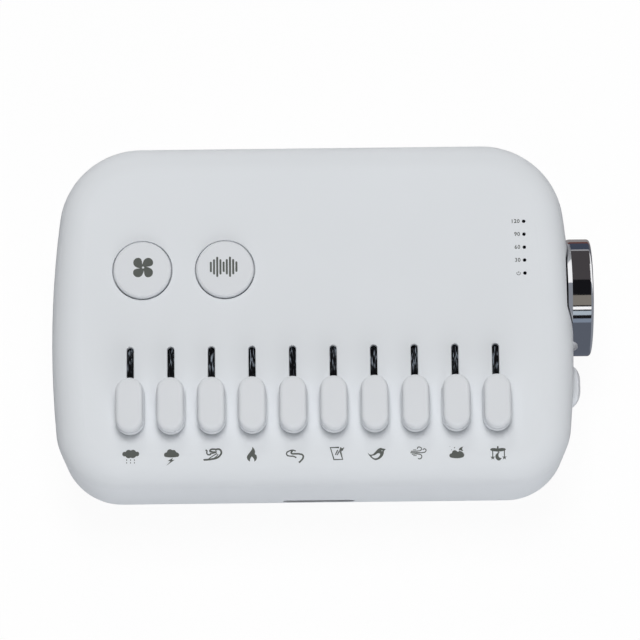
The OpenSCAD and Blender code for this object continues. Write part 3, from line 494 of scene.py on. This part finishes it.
def makeSideButton(node, s):
    # A pill whose outer face is crowned, with the lugs that hold it in the wall and the stem to its switch
    low, high = cornersOf(node)
    shape = pill(s["height"], s["length"], s["thick"], s["endSteps"])
    halves = (s["height"] / 2, s["length"] / 2)
    for axis, (half, cuts) in enumerate(zip(halves, s["cuts"])):
        for n in range(1, cuts):
            across = [0, 0, 0]
            across[axis] = 1
            everything = shape.verts[:] + shape.edges[:] + shape.faces[:]
            bmesh.ops.bisect_plane(shape, geom=everything, dist=cutTolerance,
                                   plane_co=Vector(across) * half * (2 * n / cuts - 1), plane_no=across)
    for vert in shape.verts:
        if vert.co.z > 0:
            vert.co.z -= s["sideDrop"] * abs(vert.co.x / halves[0]) ** s["crownPower"]
            vert.co.z -= s["endDrop"] * abs(vert.co.y / halves[1]) ** s["crownPower"]
    lugs = bmesh.ops.create_cube(shape, size=1)["verts"]
    bmesh.ops.scale(shape, vec=s["lugs"], verts=lugs)
    bmesh.ops.translate(shape, vec=(0, 0, (s["lugs"][2] - s["thick"]) / 2), verts=lugs)
    stemLength = high.x - low.x - s["thick"]
    stemRadius = s["stemDiameter"] / 2
    stem = bmesh.ops.create_cone(shape, cap_ends=True, segments=s["stemSegments"], radius1=stemRadius,
                                 radius2=stemRadius, depth=stemLength)["verts"]
    bmesh.ops.translate(shape, vec=(0, 0, -(s["thick"] + stemLength) / 2), verts=stem)
    bmesh.ops.rotate(shape, cent=(0, 0, 0), matrix=Matrix.Rotation(math.radians(90), 3, "Y"), verts=shape.verts)
    place = (high.x - s["thick"] / 2, (low.y + high.y) / 2, (low.z + high.z) / 2)
    bmesh.ops.translate(shape, vec=place, verts=shape.verts)
    finishKey(node, shape, s["sharpFrom"])


lipShape = {
    "inner": 0.00003,        # half the slit that two lips leave between them
    "outer": 0.00105,
    "thick": 0.00012,
    "lean": 9,               # degrees that a lip hangs down towards the slit
    "below": 0.00012,        # under the upper face of the screen
    "length": 0.0246,
    "behind": 0.01,          # from the middle of a cap at rest to the middle of its slot
}


def makeLips(s):
    # Two soft lips of film close each slot under the panel. They are drawn closed, also where the lever passes.
    shape = bmesh.new()
    top = cornersOf("slot_screen")[1].z
    for node in sliderCaps:
        middle = middleOf(node)
        for side in (-1, 1):
            lip = bmesh.ops.create_cube(shape, size=1)["verts"]
            bmesh.ops.scale(shape, vec=(s["outer"] - s["inner"], s["length"], s["thick"]), verts=lip)
            bmesh.ops.rotate(shape, cent=(0, 0, 0), verts=lip,
                             matrix=Matrix.Rotation(math.radians(-side * s["lean"]), 3, "Y"))
            place = (middle.x + side * (s["inner"] + s["outer"]) / 2, middle.y + s["behind"],
                     top - s["below"] - s["thick"])
            bmesh.ops.translate(shape, vec=place, verts=lip)
    piece = addPiece("slot_lips", shape, slotFilm, "slot_screen")


makeLips(lipShape)
for node in sliderCaps:
    makeCap(node, capShape)
for node in ("fan_button", "sound_button"):
    makeButton(node, buttonShape)
makeSideButton("side_button", sideShape)
print("keys made")


printing = {
    "proud": 0.00004,        # how far the ink stands above what it is printed on
    "sunk": 0.00002,
    "strip": 0.0005,         # a mark is cut into strips this wide, so that it bends with the surface
    "curveSteps": 5,
    "castFrom": 0.09,        # height from which a mark is dropped on its surface
    "lineSteps": 2,          # how round a drawn line is
    "starNotch": 0.42,       # of a star's radius
    "barRound": 0.49,        # of a bar's width
    "barSteps": 4,
}

# Each pictogram is drawn in millimetres round its own centre. A point with a third value is a sharp corner.
rainMark = {"fills": [
    [(-2.98, 0.89), (-2.66, 1.57), (-1.83, 1.68, 0), (-1.4, 2.18), (-0.74, 2.39), (0, 2.12, 0), (0.74, 2.39),
     (1.46, 2.18), (1.86, 1.68, 0), (2.66, 1.57), (2.98, 0.89), (2.66, 0.19), (1.86, 0.07, 0), (1.4, -0.4),
     (0.74, -0.6), (0, -0.42, 0), (-0.74, -0.6), (-1.4, -0.4), (-1.86, 0.07, 0), (-2.66, 0.19)]],
    "lines": [(0.3, [(x, y + 0.22), (x, y - 0.22)]) for x in (-1.46, -0.09, 1.28) for y in (-1.25, -2.2)]}

thunderMark = {"fills": [
    [(-2.68, 0.8), (-2.45, 1.45), (-1.73, 1.8), (-1.39, 2.47), (-0.59, 2.83), (0.35, 2.5, 0), (1.07, 2.5),
     (1.68, 1.72, 0), (2.33, 1.45), (2.68, 0.83), (2.45, 0.25), (1.96, 0.07), (-2.05, 0.07), (-2.51, 0.31)],
    [(0.5, -0.2, 0), (-1.35, -1.3, 0), (-0.4, -1.45, 0), (-1.95, -2.95, 0), (1.05, -0.95, 0),
     (0.1, -0.95, 0)]]}

waveMark = {"lines": [
    (0.64, [(-3.2, -1.9), (-1.7, -1.8), (0, -1.6), (1.6, -1.2), (2.7, -0.35), (3.15, 0.8), (2.65, 1.7),
            (1.8, 1.9), (0.95, 1.55)]),
    (0.6, [(1.5, 1), (0.7, 0.8), (-0.3, 0.95), (-0.9, 1.25), (-0.55, 1.75), (0.45, 1.9), (1.5, 1.75)]),
    (0.5, [(-2.5, 1.45), (-2.1, 1.5), (-1.95, 1), (-2, 0.5), (-1.65, 0), (-1, -0.1), (-0.45, 0.15)]),
    (0.34, [(-0.9, 0.4), (0, 0.35), (0.7, 0.55), (1.4, 0.6)]),
    (0.34, [(-1.4, -1.6), (-0.5, -0.95), (0.6, -0.25), (1.6, 0.3)]),
    (0.34, [(0.3, -1.5), (1.3, -0.8), (2, 0.05)])]}

fireMark = {"fills": [
    [(0.17, 2.64, 0), (0.74, 1.93), (1.1, 1.05), (1.03, -0.06, 0), (1.42, -0.25), (1.75, -1), (1.52, -1.96),
     (0.8, -2.64, 0), (0.77, -1.96), (0.4, -1.3), (-0.09, -0.82, 0), (-0.49, -1.41), (-0.72, -1.99),
     (-0.72, -2.64, 0), (-1.52, -1.99), (-1.8, -1.02), (-1.4, -0.18), (-0.63, 0.82), (0, 1.76)]]}

streamMark = {"lines": [
    (0.46, [(0.3, 1.9), (-0.8, 2.2), (-2, 1.9), (-2.95, 1.2), (-2.75, 0.45), (-1.7, 0.1), (-0.45, 0),
            (0.5, -0.5)]),
    (0.58, [(-0.8, 1.95), (-1.3, 1.4), (-1.05, 1), (0.15, 0.9), (1.65, 0.8), (2.85, 0.3), (2.85, -0.65),
            (2.1, -1.6), (1.4, -2.2)])]}

windowMark = {"lines": [
    (0.52, [(0.8, 2.1, 0), (-2.3, 2.1, 0), (-1.1, -2.2, 0), (2, -2.15, 0), (1.35, 0.3, 0)]),
    (0.4, [(1.4, 2.15), (1.05, 0.85)]), (0.46, [(1.85, 1.85), (1.2, 0.2)]), (0.4, [(2.45, 2.05), (1.85, 0.9)]),
    (0.4, [(0.3, 1.2), (-0.55, -0.55)]), (0.4, [(0.9, 0.8), (0.05, -0.65)])]}

birdMark = {"fills": [
    [(-3.3, 0.55, 0), (-2.5, -0.15), (-1.6, -0.2), (-0.5, 0.7), (0.4, 1.65), (1.3, 2.1), (2.35, 1.9),
     (3.3, 1.7, 0), (2.65, 1), (2.5, 0.1), (1.75, -1.15), (0.5, -1.95), (-0.4, -2.15), (-1.6, -1.6),
     (-2.65, -0.5)],
    [(-1.95, -0.65, 0), (-0.65, -0.4), (0.5, 0.25), (1.15, 0.1), (0.9, -0.85), (0.05, -1.45), (-1, -1.45)],
    [(1.73, 1.12), (1.91, 1.3), (2.09, 1.12), (1.91, 0.94)]]}

windMark = {"lines": [
    (0.34, [(-2.6, 0.62), (-0.2, 0.68), (0.85, 0.9), (1.2, 1.55), (0.6, 2.1), (-0.15, 1.95), (-0.3, 1.45)]),
    (0.34, [(-2.8, 0.1), (0.15, 0.1), (1.7, 0.1), (2.65, 0.5), (2.75, 1.15), (2.15, 1.45), (1.6, 1.1)]),
    (0.34, [(-2.3, -0.42), (0.15, -0.42), (1.1, -0.8), (1.15, -1.65), (0.5, -2.1), (-0.1, -1.9)]),
    (0.26, [(-1.8, 1.12), (-0.7, 1.12)]), (0.26, [(-1.8, -0.92), (-0.6, -0.95)])]}

nightMark = {"fills": [
    [(-2.6, -1.3), (-2.4, -0.75), (-1.75, -0.45), (-1.45, 0.25), (-0.7, 0.55), (0.05, 0.25), (0.4, 0),
     (1, 0.3), (1.75, 0.05), (2.5, -0.7), (2.55, -1.55), (2, -2), (-2.05, -2), (-2.5, -1.75)],
    [(2.35, 1.85, 0), (1.3, 1.45), (0.75, 0.7), (0.85, 0.45, 0), (1.4, 0.5), (1.95, 0.2, 0), (2.3, 0.35, 0),
     (1.95, 0.95)],
    [(-0.95, 1.5), (-0.75, 1.7), (-0.55, 1.5), (-0.75, 1.3)],
    [(-1.95, 0.72), (-1.82, 0.85), (-1.69, 0.72), (-1.82, 0.59)],
    [(-2.5, 1.95), (-2.4, 2.05), (-2.3, 1.95), (-2.4, 1.85)]]}

mobileMark = {"fills": [
    [(-2.8, 1.35), (-2.45, 1.75), (-0.35, 1.75, 0), (-0.3, 2.5), (0.1, 2.5), (0.15, 1.75, 0), (2.3, 1.75),
     (2.7, 1.35), (2.3, 0.95), (-2.45, 0.95)],
    [(0.55, 0.35, 0), (0.1, -0.35), (0.3, -1.3), (1.25, -1.75, 0), (0.3, -2.5), (-0.6, -2.1), (-1, -1.1),
     (-0.6, -0.15)]],
    "lines": [(0.38, [(-1.95, 1), (-1.95, -0.9)]), (0.38, [(2.2, 1), (2.2, -0.9)]), (0.38, [(0, 1), (0, 0.1)])],
    "stars": [(-1.95, -1.45, 0.9), (2.2, -1.45, 0.9)]}

fanBlade = [(-0.29, 1.1, 0), (0.07, 2.18), (0.66, 3.08), (1.83, 3.53), (3, 3.08), (3.58, 1.96), (3.29, 0.91),
            (2.5, 0.5)]
fanMark = {"fills": [
    [turned for quarter in range(4) for x, y, *corner in fanBlade
     for turned in [((x, y), (y, -x), (-x, -y), (-y, x))[quarter] + tuple(corner)]],
    [(-0.4, 0), (0, 0.4), (0.4, 0), (0, -0.4)]]}

barsMark = {"bars": {"width": 0.72, "pitch": 1.146,
                     "heights": (3.84, 5.64, 7.43, 5.64, 3.84, 5.64, 7.43, 5.64, 3.84)}}

powerRing = [(0.62 * math.sin(math.radians(a)), 0.62 * math.cos(math.radians(a)) - 0.05)
             for a in range(40, 321, 20)]
powerMark = {"lines": [(0.2, powerRing), (0.2, [(0, 0.68), (0, 0.02)])]}


def curveMesh(outlines, closed, width=0):
    # Fills closed outlines, or draws open lines of one width, as a mesh in metres
    data = bpy.data.curves.new("ink", "CURVE")
    data.dimensions = "2D" if closed else "3D"
    data.resolution_u = printing["curveSteps"]
    if closed:
        data.fill_mode = "BOTH"
        data.extrude = (printing["proud"] + printing["sunk"]) / 2
    else:
        data.bevel_depth = width / (2 * mmPerMetre)
        data.bevel_resolution = printing["lineSteps"]
        data.use_fill_caps = True
    for points in outlines:
        spline = data.splines.new("BEZIER")
        spline.bezier_points.add(len(points) - 1)
        spline.use_cyclic_u = closed
        for knot, point in zip(spline.bezier_points, points):
            knot.co = (point[0] / mmPerMetre, point[1] / mmPerMetre, 0)
            knot.handle_left_type = knot.handle_right_type = "VECTOR" if len(point) > 2 else "AUTO"
    mark = bpy.data.objects.new("ink", data)
    mesh = bpy.data.meshes.new_from_object(mark)
    bpy.data.objects.remove(mark)
    return mesh


def starOutline(x, y, r):
    # Five points with notches between them
    return [(x + k * math.sin(math.radians(a)), y + k * math.cos(math.radians(a)), 0)
            for a in range(0, 360, 36) for k in [r * (1 if a % 72 == 0 else printing["starNotch"])]]


def addMesh(shape, mesh, depth):
    # Adds a mesh to a mark, pressed or stretched to the given depth and merged
    old = set(shape.verts)
    shape.from_mesh(mesh)
    bpy.data.meshes.remove(mesh)
    new = [v for v in shape.verts if v not in old]
    middle = depth / 2 - printing["sunk"]
    high = max(v.co.z for v in new)
    for vert in new:
        vert.co.z = vert.co.z / high * depth / 2 + middle
    bmesh.ops.remove_doubles(shape, verts=new, dist=cutTolerance)


def addBars(shape, s, depth):
    # Upright bars with round ends
    for n, height in enumerate(s["heights"]):
        bar = bmesh.new()
        bmesh.ops.create_cube(bar, size=1)
        bmesh.ops.scale(bar, vec=(s["width"] / mmPerMetre, height / mmPerMetre, depth), verts=bar.verts)
        upright = [e for e in bar.edges if abs(e.verts[0].co.z - e.verts[1].co.z) > depth / 2]
        bmesh.ops.bevel(bar, geom=upright, offset=s["width"] / mmPerMetre * printing["barRound"],
                        segments=printing["barSteps"], affect="EDGES", profile=0.5, material=-1)
        place = Vector(((n - (len(s["heights"]) - 1) / 2) * s["pitch"] / mmPerMetre, 0, 0))
        bmesh.ops.translate(bar, vec=place, verts=bar.verts)
        mesh = bpy.data.meshes.new("bar")
        bar.to_mesh(mesh)
        bar.free()
        addMesh(shape, mesh, depth)


def digitsMesh(digits, s):
    # Digits that end at the origin, scaled to the height they are to have
    data = bpy.data.curves.new("digits", "FONT")
    data.body = digits
    data.align_x = "RIGHT"
    data.align_y = "CENTER"
    data.space_character = s["spacing"]
    data.offset = s["boldness"]
    data.extrude = printing["proud"]
    data.resolution_u = printing["curveSteps"]
    mark = bpy.data.objects.new("digits", data)
    mesh = bpy.data.meshes.new_from_object(mark)
    bpy.data.objects.remove(mark)
    tall = max(v.co.y for v in mesh.vertices) - min(v.co.y for v in mesh.vertices)
    mesh.transform(Matrix.Diagonal((s["height"] / tall, s["height"] / tall, 1, 1)))
    return mesh


surfaces = {}


def surfaceOf(node):
    # What the ink lies on: the soft piece that stands for the node, or the node itself
    if node not in surfaces:
        shape = bmesh.new()
        shape.from_mesh(bpy.data.objects.get(f"soft_{node}", nodes[node]).data)
        surfaces[node] = BVHTree.FromBMesh(shape)
        shape.free()
    return surfaces[node]


def printOn(name, node, shape, place):
    # Moves a mark to its place, cuts it into strips and lays it on the node's surface
    bmesh.ops.translate(shape, vec=(*place, 0), verts=shape.verts)
    low = min(v.co.y for v in shape.verts)
    high = max(v.co.y for v in shape.verts)
    for n in range(1, math.ceil((high - low) / printing["strip"])):
        everything = shape.verts[:] + shape.edges[:] + shape.faces[:]
        bmesh.ops.bisect_plane(shape, geom=everything, dist=cutTolerance,
                               plane_co=(0, low + n * printing["strip"], 0), plane_no=(0, 1, 0))
    tree = surfaceOf(node)
    for vert in shape.verts:
        hit = tree.ray_cast(Vector((vert.co.x, vert.co.y, printing["castFrom"])), Vector((0, 0, -1)))[0]
        vert.co.z += hit.z
    bmesh.ops.recalc_face_normals(shape, faces=shape.faces)
    addPiece(name, shape, inkMaterial, node)


def printMark(name, node, mark, place):
    depth = printing["proud"] + printing["sunk"]
    shape = bmesh.new()
    if "fills" in mark:
        addMesh(shape, curveMesh(mark["fills"], True), depth)
    for star in mark.get("stars", []):
        addMesh(shape, curveMesh([starOutline(*star)], True), depth)
    for width, points in mark.get("lines", []):
        addMesh(shape, curveMesh([points], False, width), depth)
    if "bars" in mark:
        addBars(shape, mark["bars"], depth)
    printOn(name, node, shape, place)


# From left to right: name, drawing, and how far it is off its place, in millimetres
slotMarks = {
    "below": 0.018,          # from the middle of a cap at rest to the place of its pictogram
    "marks": (
        ("rain", rainMark, (0.2, 0.05)), ("thunder", thunderMark, (0.2, -0.35)),
        ("waves", waveMark, (0.22, 0.45)), ("fire", fireMark, (-0.27, 0.4)),
        ("stream", streamMark, (0.47, -0.54)), ("window", windowMark, (0.9, 0.35)),
        ("birds", birdMark, (0.51, -0.03)), ("wind", windMark, (0.77, 0.15)),
        ("night", nightMark, (-0.06, 0.4)), ("mobile", mobileMark, (0.16, -0.3)),
    ),
}
buttonMarks = (("fan_button", fanMark, (0.36, 0.7)), ("sound_button", barsMark, (-0.45, 0.65)))
for node, (name, mark, nudge) in zip(sliderCaps, slotMarks["marks"]):
    cap = middleOf(node)
    place = (cap.x + nudge[0] / mmPerMetre, cap.y - slotMarks["below"] + nudge[1] / mmPerMetre)
    printMark(f"{name}_mark", "top_cover", mark, place)
for node, mark, nudge in buttonMarks:
    middle = middleOf(node)
    place = (middle.x + nudge[0] / mmPerMetre, middle.y + nudge[1] / mmPerMetre)
    printMark(f"{node}_mark", node, mark, place)

timerMarks = {
    "numbers": ("30", "60", "90", "120"),    # minutes, beside every light but the nearest
    "height": 0.00145,
    "boldness": 0.018,
    "spacing": 1.12,
    "pitch": 0.00478,        # from light to light
    "gap": 0.00147,          # from the middle of a light to the last digit
    "powerGap": 0.0023,      # to the middle of the power mark
}
thirdLight = middleOf("timer_leds")
powerPlace = (thirdLight.x - timerMarks["powerGap"], thirdLight.y - 2 * timerMarks["pitch"])
printMark("power_mark", "top_cover", powerMark, powerPlace)
for n, number in enumerate(timerMarks["numbers"], -1):
    digits = bmesh.new()
    addMesh(digits, digitsMesh(number, timerMarks), printing["proud"] + printing["sunk"])
    place = (thirdLight.x - timerMarks["gap"], thirdLight.y + n * timerMarks["pitch"])
    printOn(f"timer_{number}_mark", "top_cover", digits, place)
print("marks printed")


studio = {
    "floorSize": 6.0,
    "floorDrop": 0.0001,      # below the feet
    "floorColour": (0.93, 0.93, 0.935),
    "floorRoughness": 0.9,
    "floorSpecular": 0.1,
    "whiteShare": 0.945,      # how much of the floor's look to the camera is plain white
    "worldColour": (0.96, 0.98, 1.0),
    "worldStrength": 0.18,
    "overhead": {"place": (0.0, 0.45, 1.6), "size": 0.6, "watts": 16, "colour": (1.0, 0.995, 0.985)},
    "rear": {"place": (-0.15, 1.1, 1.1), "size": 0.35, "watts": 2.6, "colour": (1.0, 0.995, 0.985)},
    "fill": {"place": (0.2, -1.4, 0.45), "size": 0.8, "watts": 9.2, "colour": (0.98, 0.99, 1.0)},
}

# What mirrors and gloss see of the studio, by the angle from straight up towards the rear, in degrees
mirrorBands = {
    "top": ((-180, (0.126, 0.142, 0.177)), (-63, (0.26, 0.31, 0.39)), (-53.5, (0.01, 0.01, 0.012)),
            (-47.5, (0.52, 0.6, 0.67)), (-38.5, (0.01, 0.01, 0.012)), (-36.5, (1.3, 1.3, 1.3)),
            (-30, (0.01, 0.01, 0.012)), (-27, (0.26, 0.24, 0.21)), (-7.7, (0.01, 0.01, 0.012)),
            (23, (0.075, 0.068, 0.072)), (94, (0.42, 0.42, 0.44)), (97.5, (0.063, 0.076, 0.11)),
            (123, (0.15, 0.065, 0.055)), (131, (0.3, 0.28, 0.28))),
    "sides": ((-180, (0.3, 0.32, 0.36)), (20, (1.2, 1.2, 1.2)), (95, (0.16, 0.16, 0.18))),
    "sidesFrom": 0.3,         # how far a direction leans to the left or right before it sees the sides
    "sidesTo": 0.42,
}


def lampAt(name, s):
    data = bpy.data.lights.new(name, "AREA")
    data.size = s["size"]
    data.energy = s["watts"]
    data.color = s["colour"]
    lamp = bpy.data.objects.new(name, data)
    lamp.location = s["place"]
    lamp.rotation_euler = Vector(s["place"]).to_track_quat("Z", "Y").to_euler()
    lamp.visible_glossy = False        # gloss sees the bands of the world instead
    scene.collection.objects.link(lamp)


def seenBy(tree, *kinds):
    # 1 for rays of the given kinds, from Light Path
    path = addNode(tree, "ShaderNodeLightPath")
    total = path.outputs[kinds[0]]
    for kind in kinds[1:]:
        either = addNode(tree, "ShaderNodeMath", operation="MAXIMUM")
        tree.links.new(total, either.inputs[0])
        tree.links.new(path.outputs[kind], either.inputs[1])
        total = either.outputs[0]
    return total


def mixShaders(tree, factor, first, second):
    mix = addNode(tree, "ShaderNodeMixShader")
    for socket, source in zip(mix.inputs, (factor, first, second)):
        tree.links.new(source, socket)
    return mix.outputs[0]


def bandRamp(tree, angle, bands):
    ramp = addNode(tree, "ShaderNodeValToRGB")
    ramp.color_ramp.interpolation = "CONSTANT"
    stops = ramp.color_ramp.elements
    while len(stops) < len(bands):
        stops.new(1)
    for stop, (start, colour) in zip(stops, bands):
        stop.position = (start + 180) / 360
        stop.color = (*colour, 1)
    tree.links.new(angle, ramp.inputs["Fac"])
    return ramp.outputs["Color"]


def makeWorld(s, bands):
    world = bpy.data.worlds.new("studio")
    world.use_nodes = True
    scene.world = world
    tree = world.node_tree
    link = tree.links.new
    ambient = tree.nodes["Background"]
    ambient.inputs["Color"].default_value = (*s["worldColour"], 1)
    ambient.inputs["Strength"].default_value = s["worldStrength"]
    place = addNode(tree, "ShaderNodeTexCoord")
    axes = addNode(tree, "ShaderNodeSeparateXYZ")
    tilt = addNode(tree, "ShaderNodeMath", operation="ARCTAN2")
    turn = addNode(tree, "ShaderNodeMapRange")
    turn.inputs["From Min"].default_value = -math.pi
    turn.inputs["From Max"].default_value = math.pi
    lean = addNode(tree, "ShaderNodeMath", operation="ABSOLUTE")
    side = addNode(tree, "ShaderNodeMapRange")
    side.inputs["From Min"].default_value = bands["sidesFrom"]
    side.inputs["From Max"].default_value = bands["sidesTo"]
    link(place.outputs["Generated"], axes.inputs[0])
    link(axes.outputs["Y"], tilt.inputs[0])
    link(axes.outputs["Z"], tilt.inputs[1])
    link(tilt.outputs[0], turn.inputs["Value"])
    link(axes.outputs["X"], lean.inputs[0])
    link(lean.outputs[0], side.inputs["Value"])
    colour = addNode(tree, "ShaderNodeMix", data_type="RGBA")
    link(side.outputs["Result"], colour.inputs["Factor"])
    link(bandRamp(tree, turn.outputs["Result"], bands["top"]), colour.inputs["A"])
    link(bandRamp(tree, turn.outputs["Result"], bands["sides"]), colour.inputs["B"])
    mirrored = addNode(tree, "ShaderNodeBackground")
    link(colour.outputs["Result"], mirrored.inputs["Color"])
    white = addNode(tree, "ShaderNodeBackground")
    white.inputs["Color"].default_value = (1, 1, 1, 1)
    lit = mixShaders(tree, seenBy(tree, "Is Glossy Ray"), ambient.outputs[0], mirrored.outputs[0])
    seen = mixShaders(tree, seenBy(tree, "Is Camera Ray", "Is Transmission Ray"), lit, white.outputs[0])
    link(seen, tree.nodes["World Output"].inputs["Surface"])


def makeFloor(s):
    mesh = bpy.data.meshes.new("floor")
    shape = bmesh.new()
    bmesh.ops.create_grid(shape, x_segments=1, y_segments=1, size=s["floorSize"] / 2)
    bmesh.ops.translate(shape, vec=(0, 0, -s["floorDrop"]), verts=shape.verts)
    shape.to_mesh(mesh)
    shape.free()
    floor = bpy.data.objects.new("floor", mesh)
    scene.collection.objects.link(floor)
    floor.visible_glossy = False       # the knob mirrors the dark studio, not the table
    material, tree, shader = newMaterial("floorWhite")
    shader.inputs["Base Color"].default_value = (*s["floorColour"], 1)
    shader.inputs["Roughness"].default_value = s["floorRoughness"]
    shader.inputs["Specular IOR Level"].default_value = s["floorSpecular"]
    white = addNode(tree, "ShaderNodeEmission")
    share = addNode(tree, "ShaderNodeMath", operation="MULTIPLY")
    share.inputs[1].default_value = s["whiteShare"]
    tree.links.new(seenBy(tree, "Is Camera Ray", "Is Transmission Ray"), share.inputs[0])
    seen = mixShaders(tree, share.outputs[0], shader.outputs[0], white.outputs[0])
    tree.links.new(seen, tree.nodes["Material Output"].inputs["Surface"])
    mesh.materials.append(material)


makeFloor(studio)
makeWorld(studio, mirrorBands)
for name in ("overhead", "rear", "fill"):
    lampAt(name, studio[name])
scene.view_settings.view_transform = "Standard"
print("studio ready")
